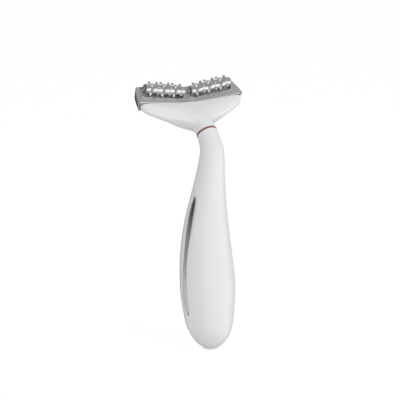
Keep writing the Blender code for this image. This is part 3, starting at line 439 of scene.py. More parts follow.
def drawn_through(name, rings):
    """A solid drawn through rings: a filled circle is extruded once for each ring and its rim set on it."""
    at_rest()
    bpy.ops.mesh.primitive_circle_add(vertices=len(rings[0]), radius=1, fill_type="NGON")
    obj = named(name)
    bpy.ops.object.mode_set(mode="EDIT")
    bpy.ops.mesh.select_all(action="SELECT")
    for number, ring in enumerate(rings):
        if number:
            bpy.ops.mesh.extrude_region_move(TRANSFORM_OT_translate={"value": (0, 0, 0)})
        shape = bmesh.from_edit_mesh(obj.data)
        rim = next(face for face in reversed(list(shape.faces)) if face.select)
        for vert, point in zip(list(rim.verts), ring):
            vert.co = point
        bmesh.update_edit_mesh(obj.data)
    return tidy(obj)


def turned(name, profile, steps):
    """A closed profile of (radius, height) points spun about Z."""
    at_rest()
    bpy.ops.mesh.primitive_circle_add(vertices=len(profile), radius=1, fill_type="NOTHING")
    obj = named(name)
    for vert, (radius, height) in zip(obj.data.vertices, profile):
        vert.co = (radius, 0, height)
    bpy.ops.object.mode_set(mode="EDIT")
    bpy.ops.mesh.select_all(action="SELECT")
    bpy.ops.mesh.spin(steps=steps, angle=2 * math.pi, center=(0, 0, 0), axis=(0, 0, 1))
    return tidy(obj)


def settle(obj, matrix):
    """Places a piece and applies its place to its mesh."""
    pick(obj)
    obj.matrix_world = matrix
    bpy.ops.object.transform_apply(location=True, rotation=True, scale=True)
    return obj


def twin(obj, name):
    """A copy of a piece with its own mesh."""
    copy = obj.copy()
    copy.data = obj.data.copy()
    copy.name = name
    copy.data.name = name
    bpy.context.scene.collection.objects.link(copy)
    return copy


def joined_with(obj, tool, operation):
    """A Boolean with a helper, applied, and the helper removed."""
    step = obj.modifiers.new("step", "BOOLEAN")
    step.operation = operation
    step.solver = "EXACT"
    step.object = tool
    pick(obj)
    bpy.ops.object.modifier_apply(modifier=step.name)
    bpy.data.objects.remove(tool, do_unlink=True)
    if not obj.data.polygons:
        raise RuntimeError(f"the Boolean left nothing of {obj.name}")
    return obj


def finished(obj, body, material, nodes, angle=32):
    """Shades a piece, gives it its finish and lets it ride on its body in place of its nodes."""
    pick(obj)
    bpy.ops.object.shade_smooth_by_angle(angle=math.radians(angle))
    obj.data.materials.clear()
    obj.data.materials.append(material)
    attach(obj, body)
    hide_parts(*nodes)
    return obj


def smooth_rows(rows, steps):
    """The rows with more between them, on a smooth curve through all of them."""
    filled = []
    for i in range(len(rows) - 1):
        before = rows[max(i - 1, 0)]
        after = rows[min(i + 2, len(rows) - 1)]
        for k in range(steps):
            t = k / steps
            row = []
            for a, b, c, d in zip(before, rows[i], rows[i + 1], after):
                bend = (2 * a - 5 * b + 4 * c - d) * t * t + (3 * b - a - 3 * c + d) * t ** 3
                row.append(b + ((c - a) * t + bend) / 2)
            filled.append(tuple(row))
    filled.append(tuple(rows[-1]))
    return filled


def between(rows, value):
    """A row at a value of its first column."""
    for low, high in zip(rows, rows[1:]):
        if low[0] <= value <= high[0]:
            t = (value - low[0]) / (high[0] - low[0])
            return tuple(a + (b - a) * t for a, b in zip(low, high))
    raise ValueError(f"{value} lies outside the rows")


def resampled(points, count):
    """The same line with its points evenly spaced."""
    lengths = [0.0]
    for a, b in zip(points, points[1:]):
        lengths.append(lengths[-1] + (b - a).length)
    even = []
    for k in range(count):
        want = lengths[-1] * k / (count - 1)
        i = max(j for j in range(len(points) - 1) if lengths[j] <= want + ROUND_OFF)
        step = lengths[i + 1] - lengths[i]
        t = (want - lengths[i]) / step if step else 0
        even.append(points[i].lerp(points[i + 1], min(1, t)))
    return even


def slot_points(half_width, half_depth, steps=12):
    """The outline of a slot with round ends."""
    points = []
    for end in (1, -1):
        for i in range(steps + 1):
            angle = math.pi * i / steps - math.pi / 2
            points.append((
                end * (half_width - half_depth + half_depth * math.cos(angle)),
                end * half_depth * math.sin(angle),
            ))
    return points


def rectangle(half_width, low, high):
    """The outline of a rectangle with its middle on the upright axis."""
    return ((-half_width, low), (half_width, low), (half_width, high), (-half_width, high))


def evenly(start, end, steps, first=0):
    """Values from one to another in even steps; the first ones may be left out."""
    return [start + (end - start) * k / steps for k in range(first, steps + 1)]


def arc(start, end, steps, first=0):
    """Angles in radians from one in degrees to another, in even steps."""
    return [math.radians(angle) for angle in evenly(start, end, steps, first)]


# Materials


def new_material(name, colour, roughness, metallic=0.0):
    """A new material with its node tree and its shader."""
    material = bpy.data.materials.new(name)
    material.use_nodes = True
    tree = material.node_tree
    shader = tree.nodes["Principled BSDF"]
    shader.inputs["Base Color"].default_value = (*colour, 1)
    shader.inputs["Roughness"].default_value = roughness
    shader.inputs["Metallic"].default_value = metallic
    return material, tree, shader


def noise(tree, scale, stretch=(1, 1, 1)):
    """Noise over the object's own coordinates, stretched along an axis if asked."""
    place = tree.nodes.new("ShaderNodeTexCoord")
    mapping = tree.nodes.new("ShaderNodeMapping")
    mapping.inputs["Scale"].default_value = stretch
    texture = tree.nodes.new("ShaderNodeTexNoise")
    texture.inputs["Scale"].default_value = scale
    texture.inputs["Detail"].default_value = 4
    tree.links.new(place.outputs["Object"], mapping.inputs["Vector"])
    tree.links.new(mapping.outputs["Vector"], texture.inputs["Vector"])
    return texture.outputs["Fac"]


def spread(tree, value, low, high):
    """A noise value spread between two others, past which only its peaks reach."""
    node = tree.nodes.new("ShaderNodeMapRange")
    node.clamp = False
    node.inputs["From Min"].default_value = NOISE_RANGE[0]
    node.inputs["From Max"].default_value = NOISE_RANGE[1]
    node.inputs["To Min"].default_value = low
    node.inputs["To Max"].default_value = high
    tree.links.new(value, node.inputs["Value"])
    return node.outputs["Result"]


def shade(colour, factor):
    """A colour made lighter or darker."""
    return tuple(min(1, channel * factor) for channel in colour)


def two_tones(tree, shader, factor, first, second):
    """Two near colours that blend over the surface by a factor."""
    mix = tree.nodes.new("ShaderNodeMix")
    mix.data_type = "RGBA"
    mix.inputs["A"].default_value = (*first, 1)
    mix.inputs["B"].default_value = (*second, 1)
    tree.links.new(factor, mix.inputs["Factor"])
    tree.links.new(mix.outputs["Result"], shader.inputs["Base Color"])


def uneven_colour(tree, shader, colour, scale, swing):
    """A colour that swings a little lighter and darker over the surface."""
    factor = spread(tree, noise(tree, scale), 0, 1)
    two_tones(tree, shader, factor, shade(colour, 1 - swing), shade(colour, 1 + swing))


def uneven_roughness(tree, shader, scale, low, high, stretch=(1, 1, 1)):
    """A roughness that wanders between two values."""
    tree.links.new(spread(tree, noise(tree, scale, stretch), low, high), shader.inputs["Roughness"])


def fine_relief(tree, shader, scale, strength, depth):
    """A shallow relief from fine noise."""
    bump = tree.nodes.new("ShaderNodeBump")
    bump.inputs["Strength"].default_value = strength
    bump.inputs["Distance"].default_value = depth
    tree.links.new(noise(tree, scale), bump.inputs["Height"])
    tree.links.new(bump.outputs["Normal"], shader.inputs["Normal"])


def white_plastic():
    """Smooth white plastic with a faint flow of tone and a soft gloss."""
    colour = tuple(colours().shell)
    material, tree, shader = new_material("white_plastic", colour, roughness=0.24)
    shader.inputs["Coat Weight"].default_value = 0.25
    shader.inputs["Coat Roughness"].default_value = 0.08
    uneven_colour(tree, shader, colour, scale=45, swing=0.008)
    uneven_roughness(tree, shader, scale=160, low=0.20, high=0.28)
    fine_relief(tree, shader, scale=2600, strength=0.03, depth=0.00002)
    return material


def chrome(name, factor, low, high):
    """Polished plating with faint clouding."""
    colour = shade(tuple(colours().chrome), factor)
    material, tree, shader = new_material(name, colour, roughness=low, metallic=1.0)
    uneven_colour(tree, shader, colour, scale=120, swing=0.02)
    uneven_roughness(tree, shader, scale=300, low=low, high=high)
    fine_relief(tree, shader, scale=1800, strength=0.02, depth=0.00001)
    return material


def satin_plating():
    """Satin grey plating that shows only soft reflections."""
    colour = tuple(colours().satin)
    material, tree, shader = new_material("satin_plating", colour, roughness=0.3, metallic=0.55)
    uneven_colour(tree, shader, colour, scale=150, swing=0.015)
    uneven_roughness(tree, shader, scale=500, low=0.27, high=0.34)
    fine_relief(tree, shader, scale=2400, strength=0.04, depth=0.00001)
    return material


def rose_metal():
    """Satin rose plating with a soft cloud in it."""
    colour = tuple(colours().rose)
    material, tree, shader = new_material("rose_metal", colour, roughness=0.28, metallic=1.0)
    uneven_colour(tree, shader, colour, scale=400, swing=0.06)
    uneven_roughness(tree, shader, scale=900, low=0.22, high=0.36)
    fine_relief(tree, shader, scale=2200, strength=0.08, depth=0.00002)
    return material


def steel():
    """Plain drawn steel with fine lines across."""
    colour = tuple(colours().steel)
    material, tree, shader = new_material("steel", colour, roughness=0.3, metallic=1.0)
    uneven_colour(tree, shader, colour, scale=500, swing=0.08)
    uneven_roughness(tree, shader, scale=700, low=0.22, high=0.38, stretch=(1, 1, 6))
    return material


def clear_silicone():
    """Soft see-through silicone with a matt skin, and a faint painted glow in its own colour that lightens
    it where it lies in shade.
    """
    colour = tuple(colours().silicone)
    material, tree, shader = new_material("clear_silicone", colour, roughness=0.38)
    shader.inputs["Transmission Weight"].default_value = 0.15
    shader.inputs["IOR"].default_value = 1.41
    shader.inputs["Subsurface Weight"].default_value = 0.5
    shader.inputs["Subsurface Scale"].default_value = 0.002
    # Painted light: a faint glow in the silicone's own colour, though the plug holds no lamp
    shader.inputs["Emission Color"].default_value = (*colour, 1)
    shader.inputs["Emission Strength"].default_value = 0.14
    uneven_roughness(tree, shader, scale=600, low=0.32, high=0.46)
    fine_relief(tree, shader, scale=1500, strength=0.06, depth=0.00003)
    return material


def milky_lens():
    """Milky plastic that spreads the lamps' light."""
    colour = tuple(colours().lens)
    material, tree, shader = new_material("milky_lens", colour, roughness=0.3)
    shader.inputs["Subsurface Weight"].default_value = 0.3
    shader.inputs["Subsurface Scale"].default_value = 0.0015
    uneven_colour(tree, shader, colour, scale=200, swing=0.03)
    uneven_roughness(tree, shader, scale=500, low=0.25, high=0.35)
    return material


def bearing_plastic():
    """Grey slippery plastic of the bushes."""
    colour = tuple(colours().bearing)
    material, tree, shader = new_material("bearing_plastic", colour, roughness=0.4)
    uneven_roughness(tree, shader, scale=900, low=0.34, high=0.5)
    return material


def inner_plastic():
    """Grey moulded plastic with a fine eroded grain."""
    colour = tuple(colours().inner)
    material, tree, shader = new_material("inner_plastic", colour, roughness=0.5)
    uneven_colour(tree, shader, colour, scale=300, swing=0.07)
    fine_relief(tree, shader, scale=2500, strength=0.2, depth=0.00005)
    return material


def circuit_board():
    """Green board with darker tracks under the lacquer."""
    colour = tuple(colours().board)
    material, tree, shader = new_material("circuit_board", colour, roughness=0.35)
    place = tree.nodes.new("ShaderNodeTexCoord")
    texture = tree.nodes.new("ShaderNodeTexVoronoi")
    texture.distance = "MANHATTAN"
    texture.inputs["Scale"].default_value = 450
    tree.links.new(place.outputs["Object"], texture.inputs["Vector"])
    track = shade(colour, 0.6)
    lacquer = shade(colour, 1.5)
    two_tones(tree, shader, texture.outputs["Distance"], track, lacquer)
    return material


def cell_wrap():
    """Coloured film shrunk round the cell."""
    colour = tuple(colours().cell)
    material, tree, shader = new_material("cell_wrap", colour, roughness=0.35)
    uneven_colour(tree, shader, colour, scale=90, swing=0.1)
    fine_relief(tree, shader, scale=400, strength=0.15, depth=0.00005)
    return material


def wire_skin(name, colour):
    """The matt skin of a wire."""
    material, tree, shader = new_material(name, colour, roughness=0.5)
    uneven_colour(tree, shader, colour, scale=600, swing=0.08)
    uneven_roughness(tree, shader, scale=900, low=0.42, high=0.6)
    return material


# Handle


def neck_axis():
    """The direction up the neck at the ring."""
    return Vector((0, math.sin(math.radians(NECK_LEAN)), math.cos(math.radians(NECK_LEAN))))


def handle_rows():
    """All rows of the handle, closely spaced, with extra ones at its floor and at the grooves' ends."""
    s = sizes()
    end = RING_PLACE - neck_axis() * (s.ring_width / 2 + s.gap)
    curve = smooth_rows(HANDLE_ROWS, steps=8)
    rows = smooth_rows(HANDLE_ROWS + ((end.z, end.y, s.neck_radius, NECK_LEAN),), steps=8)
    length = s.strip_top - s.strip_bottom
    reach = s.strip_gap
    extra = []
    for share in GROOVE_SHARES:
        extra.append(s.strip_bottom - reach + share * (length + 2 * reach))
    extra.append(extra[0] - reach / 6)
    extra.append(extra[-2] + reach / 6)
    extra.append(s.floor_height)
    for height in extra:
        rows.append(between(curve, height))
    rows.sort()
    return rows


def strip_at(height, reach):
    """Whether a height crosses a strip's groove, and the half width and turn there.

    Past the groove these are those of its nearer end."""
    s = sizes()
    low = s.strip_bottom - reach
    share = (height - low) / (s.strip_top + reach - low)
    crosses = -TINY < share < 1 + TINY
    _, width, turn = between(smooth_rows(STRIP_ROWS, steps=6), min(1, max(0, share)))
    return crosses, s.strip_half_width * width, math.radians(turn)


def shell_outline(row, side):
    """The C-shaped section of a handle shell: its outer line with half of each groove, then its inner."""
    s = sizes()
    height, setback, radius, lean = row
    centre = Vector((0, setback, height))
    back = Vector((0, math.cos(math.radians(lean)), -math.sin(math.radians(lean))))
    start = s.seam / 2 / radius
    crosses, half, turn = strip_at(height, s.strip_gap)
    edge = max((half + s.strip_gap) / radius - side * turn, start + s.gap / radius)
    grooved = crosses and edge > start + NARROWEST_GROOVE * s.gap / radius
    depth = s.strip_depth + s.gap if grooved else 0
    quarter = [(angle, depth) for angle in evenly(start, edge, steps=4)]
    quarter += [(angle, 0) for angle in evenly(edge + GROOVE_SIDE, DENSE_ANGLE, steps=9)[:-1]]
    columns = list(quarter)
    columns += [(angle, 0) for angle in evenly(DENSE_ANGLE, math.pi - DENSE_ANGLE, steps=72)]
    columns += [(math.pi - angle, inset) for angle, inset in reversed(quarter)]

    def point(angle, reach):
        return centre + reach * (math.cos(angle) * Vector((1, 0, 0)) + side * math.sin(angle) * back)

    outer = [point(angle, radius - inset) for angle, inset in columns]
    if height < s.floor_height:
        outline = slot_points(s.slot_half_width, s.slot_half_depth, steps=16)
        slot = [Vector((x, y, height)) for x, y in outline]
        line = sorted((p for p in slot if p.y * side > s.seam), key=lambda p: math.atan2(p.y * side, p.x))
        line.insert(0, Vector((s.slot_half_width, side * s.seam / 2, height)))
        line.append(Vector((-s.slot_half_width, side * s.seam / 2, height)))
    else:
        inner = radius - s.wall
        start = s.seam / 2 / inner
        line = [point(angle, inner) for angle in evenly(start, math.pi - start, steps=48)]
    return outer + resampled(line, len(outer))[::-1]


def handle_shell(name, side):
    """One half of the handle as a closed shell with its floor, grooves and half of the inlet hole."""
    s = sizes()
    rings = []
    for row in handle_rows():
        if abs(row[0] - s.floor_height) < TINY:
            rings.append(shell_outline((row[0] - s.seam / 6, *row[1:]), side))
        rings.append(shell_outline(row, side))
    return drawn_through(name, rings)


def back_place(height, reach):
    """Turns a piece's Z to the back and puts it at a height, this far back."""
    return Matrix.Translation((0, reach, height)) @ Matrix.Rotation(-math.pi / 2, 4, "X")


def surface_at(height):
    """How far back the handle's surface is at a height."""
    row = between(smooth_rows(HANDLE_ROWS, steps=8), height)
    return row[1] + row[2]


class MASSAGER_OT_handle(bpy.types.Operator):
    """Model the two white shells of the handle"""
    bl_idname = "massager.handle"
    bl_label = "Handle shells"

    def execute(self, context):
        s = sizes()
        white = white_plastic()
        front = handle_shell("front_shell", -1)
        finished(front, "body", white, ["handle_front_shell"])
        back = handle_shell("back_shell", 1)
        reach = 3 * s.wall
        rim = s.gap
        openings = (
            (s.button_height, s.button_radius + s.gap / 2),
            (s.pipe_height, s.pipe_radius),
        )
        for height, radius in openings:
            profile = (
                (0, -reach),
                (radius, -reach),
                (radius, -rim - rim / 3),
                (radius + rim / 3, -rim / 2),
                (radius + rim, rim / 6),
                (radius + 3 * rim, 2 * rim),
                (0, 2 * rim),
            )
            hole = turned("hole", profile, steps=48)
            settle(hole, back_place(height, surface_at(height)))
            joined_with(back, hole, "DIFFERENCE")
        finished(back, "body", white, ["handle_back_shell"])
        return {"FINISHED"}


class MASSAGER_OT_strips(bpy.types.Operator):
    """Model the chrome strips in the sides of the handle"""
    bl_idname = "massager.strips"
    bl_label = "Side strips"

    def execute(self, context):
        s = sizes()
        rows = smooth_rows(HANDLE_ROWS, steps=8)
        material = chrome("strip_chrome", factor=1.12, low=0.06, high=0.13)
        for word, side in (("left", -1), ("right", 1)):
            rings = []
            # Rings lie closer together towards the strip's two ends
            for sweep in arc(0, 180, steps=80):
                share = (1 - math.cos(sweep)) / 2
                height = s.strip_bottom + share * (s.strip_top - s.strip_bottom)
                _, half, turn = strip_at(height, 0)
                _, setback, radius, _ = between(rows, height)
                spots = []
                for across in evenly(-1, 1, steps=16):
                    reach = radius - s.gap / 3 + (s.strip_crown + s.gap / 3) * (1 - across ** 4)
                    spots.append((across, reach))
                for across in evenly(1, -1, steps=16):
                    spots.append((across, radius - s.strip_depth))
                ring = []
                for across, reach in spots:
                    angle = half * across / radius - turn
                    ring.append(Vector((
                        side * reach * math.cos(angle), setback + reach * math.sin(angle), height)))
                rings.append(ring)
            strip = drawn_through(f"side_strip_{word}", rings)
            finished(strip, "body", material, [f"electrode_strip_{word}"])
        return {"FINISHED"}


# Neck


class MASSAGER_OT_neck_ring(bpy.types.Operator):
    """Model the rose ring between handle and head"""
    bl_idname = "massager.neck_ring"
    bl_label = "Neck ring"

    def execute(self, context):
        s = sizes()
        half = s.ring_width / 2
        edge = half / RING_FLATNESS
        profile = [(s.ring_bore, half), (s.ring_bore, -half)]
        for start, sign in ((-90, -1), (0, 1)):
            for angle in arc(start, start + 90, steps=5):
                profile.append((
                    s.ring_radius - edge + edge * math.cos(angle),
                    sign * (half - edge) + edge * math.sin(angle),
                ))
        ring = turned("neck_ring", profile, steps=120)
        place = Matrix.Translation(RING_PLACE) @ Matrix.Rotation(-math.radians(NECK_LEAN), 4, "X")
        settle(ring, place)
        finished(ring, "body", rose_metal(), ["trim_ring"])
        return {"FINISHED"}


# Head


def head_matrix():
    """The frame of the face: X along the head, Y up the face, Z out of it."""
    return Matrix.Translation(FACE_PLACE) @ Matrix.Rotation(math.radians(FACE_SLOPE), 4, "X")


def valley(across):
    """How much the face rises away from its middle."""
    s = sizes()
    rise = math.sqrt(across * across + s.valley_round ** 2) - s.valley_round
    return math.tan(math.radians(s.valley_slope)) * rise


def signed_power(value, power):
    """A value's power that keeps its sign."""
    return math.copysign(abs(value) ** power, value)


def head_section(along, middle, half, rise, rise_power, fall, fall_power, lean=0):
    """A ring of points across the head: one curve above its middle height and another below."""
    flat = min(1, half / HEAD_ROWS[-1][2])
    points = []
    count = 132
    for i in range(count):
        angle = 2 * math.pi * (i + 0.5) / count
        up = math.sin(angle) > 0
        power = rise_power if up else fall_power
        across = half * signed_power(math.cos(angle), 2 / power)
        out = (rise if up else fall) * signed_power(math.sin(angle), 2 / power)
        point = Vector((across, 0, out))
        point.rotate(Matrix.Rotation(math.radians(lean), 3, "X"))
        points.append(point + Vector((0, along, middle + flat * valley(across))))
    return points


def neck_section(inset, past):
    """The round section where the head meets the ring, or this far past it for the hollow."""
    s = sizes()
    lean = 90 - NECK_LEAN - FACE_SLOPE
    start = head_matrix().inverted() @ (RING_PLACE + neck_axis() * (s.ring_width / 2 + s.gap / 2))
    radius = s.neck_radius - inset
    along = start.y - past * math.cos(math.radians(lean))
    out = start.z - past * math.sin(math.radians(lean))
    return head_section(along, out, radius, radius, 2, radius, 2, lean)


def housing_hollow():
    """The space inside the head housing."""
    s = sizes()
    wall = s.head_wall
    rings = [neck_section(wall, wall)]
    for along, middle, half, rise, rise_power, fall, fall_power in HEAD_ROWS[:-1]:
        rings.append(head_section(
            along + wall, middle, half - wall, rise - wall, rise_power, fall - wall, fall_power))
    ledge = -s.plate_depth - wall - s.gap
    along, middle, half, _, _, fall, fall_power = HEAD_ROWS[-2]
    lowest = middle - fall + wall
    edge = TAIL_ROWS[0][0]
    for reach in (along + wall + s.gap, edge):
        rings.append(head_section(
            reach, ledge - s.gap, half - 2 * wall, s.gap, 2, ledge - s.gap - lowest, fall_power))
    share = min(1, (TAIL_ROWS[-1][0] - wall - edge) / (TAIL_ROWS[-3][0] - edge))
    for along, half, fall in TAIL_ROWS[:-2]:
        rings.append(head_section(
            edge + s.gap + (along - edge) * share, -s.plate_depth - s.gap, half - wall, wall, 4,
            fall - wall, TAIL_POWER))
    return drawn_through("hollow", rings)


class MASSAGER_OT_housing(bpy.types.Operator):
    """Model the white T-shaped housing of the head"""
    bl_idname = "massager.housing"
    bl_label = "Head housing"

    def execute(self, context):
        s = sizes()
        rings = [neck_section(0, 0)]
        rows = smooth_rows(HEAD_ROWS, steps=8)
        end = rows[-1][0]
        groove = s.gap
        for row in rows:
            if row[0] < end - groove * CLEAR_OF_GROOVE:
                rings.append(head_section(*row))
        _, middle, half, rise, rise_power, fall, fall_power = rows[-1]
        edge = s.gap / 6
        for along, inset in (
            (end - groove, 0), (end - groove + edge, edge * 4), (end - edge, edge * 4), (end, 0),
            (end + s.lip - 5 * edge, 0), (end + s.lip - 2 * edge, edge), (end + s.lip, 4 * edge),
        ):
            rings.append(head_section(
                along, middle, half - inset, rise - inset, rise_power, fall - inset, fall_power))
        low = -s.plate_depth - s.gap
        for along, half, fall in smooth_rows(TAIL_ROWS, steps=4):
            rings.append(head_section(along, low, half, 0, 2, fall, TAIL_POWER))
        housing = drawn_through("housing", rings)
        joined_with(housing, housing_hollow(), "DIFFERENCE")
        settle(housing, head_matrix())
        finished(housing, "body", bpy.data.materials["white_plastic"], ["head_housing"], angle=38)
        return {"FINISHED"}


def roller_mounts():
    """The frames of the two rollers: Z along the axle outwards, Y out of the face."""
    s = sizes()
    tilt = math.radians(s.roller_tilt)
    toe = math.radians(s.roller_toe)
    mounts = []
    for word, side in (("left", -1), ("right", 1)):
        along = Vector((side * math.cos(tilt) * math.cos(toe), math.sin(toe), math.sin(tilt))).normalized()
        out = Vector((0, 0, 1))
        out = (out - out.dot(along) * along).normalized()
        turn = Matrix((out.cross(along), out, along)).transposed().to_4x4()
        centre = Vector((side * s.roller_across, s.roller_along, valley(s.roller_across) + s.roller_rise))
        mounts.append((word, head_matrix() @ Matrix.Translation(centre) @ turn))
    return mounts


def face_height(local, x, z):
    """Height of the face in a roller's frame at a place across and along it."""
    height = -sizes().roller_rise
    for _ in range(4):
        point = local @ Vector((x, height, z))
        height += valley(point.x) - point.z
    return height


def well_outline(spread_out):
    """The well's outline: square at its outer end and round at its inner end."""
    s = sizes()
    width = s.well_half_width + spread_out
    reach = s.roller_half_length + s.roller_dome + s.gap * 5 / 6 + spread_out
    outline = []
    for x_side, z_side, start, corner in (
        (1, 1, 0, OUTER_CORNER), (-1, 1, 90, OUTER_CORNER),
        (-1, -1, 180, INNER_CORNER), (1, -1, 270, INNER_CORNER),
    ):
        corner += spread_out
        for angle in arc(start, start + 90, steps=12):
            outline.append((
                x_side * (width - corner) + corner * math.cos(angle),
                z_side * (reach - corner) + corner * math.sin(angle),
            ))
    return outline


def well(local):
    """The space for a roller, flared where it meets the face, in the roller's frame."""
    s = sizes()
    rings = [[Vector((x, -s.well_depth, z)) for x, z in well_outline(0)]]
    for angle in arc(0, 90, steps=6):
        drop = s.well_rim * (1 - math.sin(angle))
        outline = well_outline(s.well_rim * (1 - math.cos(angle)))
        rings.append([Vector((x, face_height(local, x, z) - drop, z)) for x, z in outline])
    rings.append([Vector((x, s.roller_radius, z)) for x, z in well_outline(s.well_rim)])
    return drawn_through("well", rings)


def ear(end):
    """An upright with a round top and softened edges at one end of a roller."""
    s = sizes()
    start = s.roller_half_length + s.roller_dome + s.gap
    soft = s.ear_width / 4
    low = -s.roller_rise - s.plate_depth / 2
    rings = []
    for place, inset in ((0, soft), (soft, 0), (s.ear_width - soft, 0), (s.ear_width, soft)):
        radius = s.ear_radius - inset
        ring = [(-radius, low), (radius, low)]
        for angle in arc(0, 180, steps=20):
            ring.append((radius * math.cos(angle), radius * math.sin(angle)))
        rings.append([Vector((x, y, end * (start + place))) for x, y in ring])
    return drawn_through("ear", rings)


def plate_half(rows, along):
    """Half width of the roller frame at a place up the face, with its near corners rounded."""
    corner = sizes().frame_corner
    share = 1 - min(1, (along - rows[0][0]) / corner)
    return between(rows, along)[1] - corner * (1 - math.sqrt(1 - share * share))


def plate_section(along, half, drop):
    """A section across the roller frame, with its long edges rounded."""
    s = sizes()
    soft = s.plate_round
    count = 90
    top = []
    for i in range(count + 1):
        across = (half - soft) * (2 * i / count - 1)
        top.append(Vector((across, along, valley(across) - drop)))
    right = []
    for angle in arc(0, 90, steps=6, first=1):
        across = half - soft + soft * math.sin(angle)
        right.append(Vector((across, along, valley(half) - drop - soft + soft * math.cos(angle))))
    left = [Vector((-p.x, p.y, p.z)) for p in reversed(right)]
    low = []
    base = half - s.frame_draft
    for i in range(count + 1):
        across = base * (1 - 2 * i / count)
        share = min(1, max(0, (abs(across) - base + s.skirt_width) / (s.skirt_width / 2)))
        depth = s.plate_depth + s.frame_skirt * share * share * (3 - 2 * share)
        low.append(Vector((across, along, valley(across) - depth)))
    return top + right + low + left


class MASSAGER_OT_roller_frame(bpy.types.Operator):
    """Model the chrome frame with its wells, ears and the openings for the light windows"""
    bl_idname = "massager.roller_frame"
    bl_label = "Roller frame"

    def execute(self, context):
        s = sizes()
        soft = s.plate_round
        rows = [row for row in smooth_rows(PLATE_ROWS, steps=6) if row[0] > HEAD_ROWS[-1][0] + s.lip + s.gap]
        rings = []
        for angle in arc(0, 90, steps=6):
            along = rows[0][0] + soft * (1 - math.cos(angle))
            rings.append(plate_section(along, plate_half(rows, along), soft * (1 - math.sin(angle))))
        for along, _ in rows:
            if rows[0][0] + soft < along < rows[-1][0] - soft:
                rings.append(plate_section(along, plate_half(rows, along), 0))
        for angle in arc(0, 90, steps=6):
            along = rows[-1][0] - soft + soft * math.sin(angle)
            rings.append(plate_section(along, between(rows, along)[1], soft * (1 - math.cos(angle))))
        plate = drawn_through("frame_plate", rings)
        settle(plate, head_matrix())
        for _, mount in roller_mounts():
            local = head_matrix().inverted() @ mount
            joined_with(plate, settle(well(local), mount), "DIFFERENCE")
            for end in (-1, 1):
                joined_with(plate, settle(ear(end), mount), "UNION")
            radius = s.axle_radius + s.gap / 3
            reach = s.roller_half_length + 2 * s.ear_width
            hole = turned("hole", ((0, reach), (0, -reach), (radius, -reach), (radius, reach)), steps=32)
            joined_with(plate, settle(hole, mount), "DIFFERENCE")
            outline = slot_points(*OPENING_HALVES)
            depths = (-2 * s.well_depth, -s.well_depth / 2)
            opening = [[Vector((x, y, z)) for z, x in outline] for y in depths]
            joined_with(plate, settle(drawn_through("opening", opening), mount), "DIFFERENCE")
        finished(plate, "body", satin_plating(), ["roller_frame"], angle=25)
        plate.data.materials.append(chrome("frame_chrome", factor=1.0, low=0.08, high=0.14))
        out = head_matrix().to_3x3() @ Vector((0, 0, 1))
        for face in plate.data.polygons:
            face.material_index = 0 if face.normal.dot(out) > SATIN_SHARE else 1
        return {"FINISHED"}


def barrel_radius(spot):
    """A roller's radius at a place along it: a shallow barrel."""
    s = sizes()
    share = spot / (s.roller_half_length - s.roller_end_length)
    return s.roller_radius - (s.roller_radius - s.shoulder_radius) * share * share


def stud():
    """One stud: a short peg with a soft foot and a round top, standing on Z."""
    radius = sizes().stud_radius
    height = sizes().stud_height
    profile = [(wide * radius, up * height) for wide, up in STUD_ROWS]
    wide, up = STUD_ROWS[-1]
    for angle in arc(0, 90, steps=5, first=1):
        profile.append((wide * radius * math.cos(angle), height * (up + (1 - up) * math.sin(angle))))
    return turned("stud", profile, steps=14)


def stud_field():
    """All studs of a roller as one object, in rows shifted in turn by a share of the pitch."""
    s = sizes()
    model = stud()
    copies = []
    for row in range(s.stud_rows):
        for k in range(s.studs_in_row):
            share = k + row % s.stud_phases / s.stud_phases
            spot = (share - (s.studs_in_row - 1 / s.stud_phases) / 2) * s.stud_pitch
            turn = 2 * math.pi * row / s.stud_rows
            place = Matrix.Translation((0, 0, spot)) @ Matrix.Rotation(turn, 4, "Z")
            place = place @ Matrix.Rotation(math.pi / 2, 4, "Y")
            place = place @ Matrix.Translation((0, 0, barrel_radius(spot)))
            copies.append(settle(twin(model, "stud_copy"), place))
    pick(copies[0])
    for copy in copies:
        copy.select_set(True)
    bpy.ops.object.join()
    bpy.data.objects.remove(model, do_unlink=True)
    return copies[0]


def roller_model():
    """A roller in its own frame: a turned barrel with a bore, and its studs."""
    s = sizes()
    half = s.roller_half_length + s.roller_dome
    seat = s.roller_half_length - BUSH_SEAT
    reach = s.roller_half_length - s.roller_end_length
    bore = s.bush_radius + s.gap / 3
    right = [(barrel_radius(spot), spot) for spot in evenly(0, reach, steps=12)]
    for angle in arc(0, 90, steps=10, first=1):
        radius = s.roller_end_radius + (s.shoulder_radius - s.roller_end_radius) * math.cos(angle)
        right.append((radius, reach + (half - reach) * math.sin(angle)))
    right += [(bore + BORE_CHAMFER, half), (bore, half - BORE_CHAMFER), (bore, seat), (AXLE_BORE, seat)]
    left = [(radius, -place) for radius, place in right[1:]]
    roller = turned("roller", right[::-1] + left, steps=120)
    return joined_with(roller, stud_field(), "UNION")


class MASSAGER_OT_rollers(bpy.types.Operator):
    """Model the two studded rollers"""
    bl_idname = "massager.rollers"
    bl_label = "Rollers"

    def execute(self, context):
        material = chrome("roller_chrome", factor=1.0, low=0.04, high=0.09)
        model = roller_model()
        turns = (sizes().left_roller_turn, sizes().right_roller_turn)
        for (word, mount), turn in zip(roller_mounts(), turns):
            turned_mount = mount @ Matrix.Rotation(math.radians(turn), 4, "Z")
            roller = settle(twin(model, f"massage_roller_{word}"), turned_mount)
            finished(roller, f"roller_{word}", material, [f"roller_{word}"], angle=40)
        bpy.data.objects.remove(model, do_unlink=True)
        return {"FINISHED"}


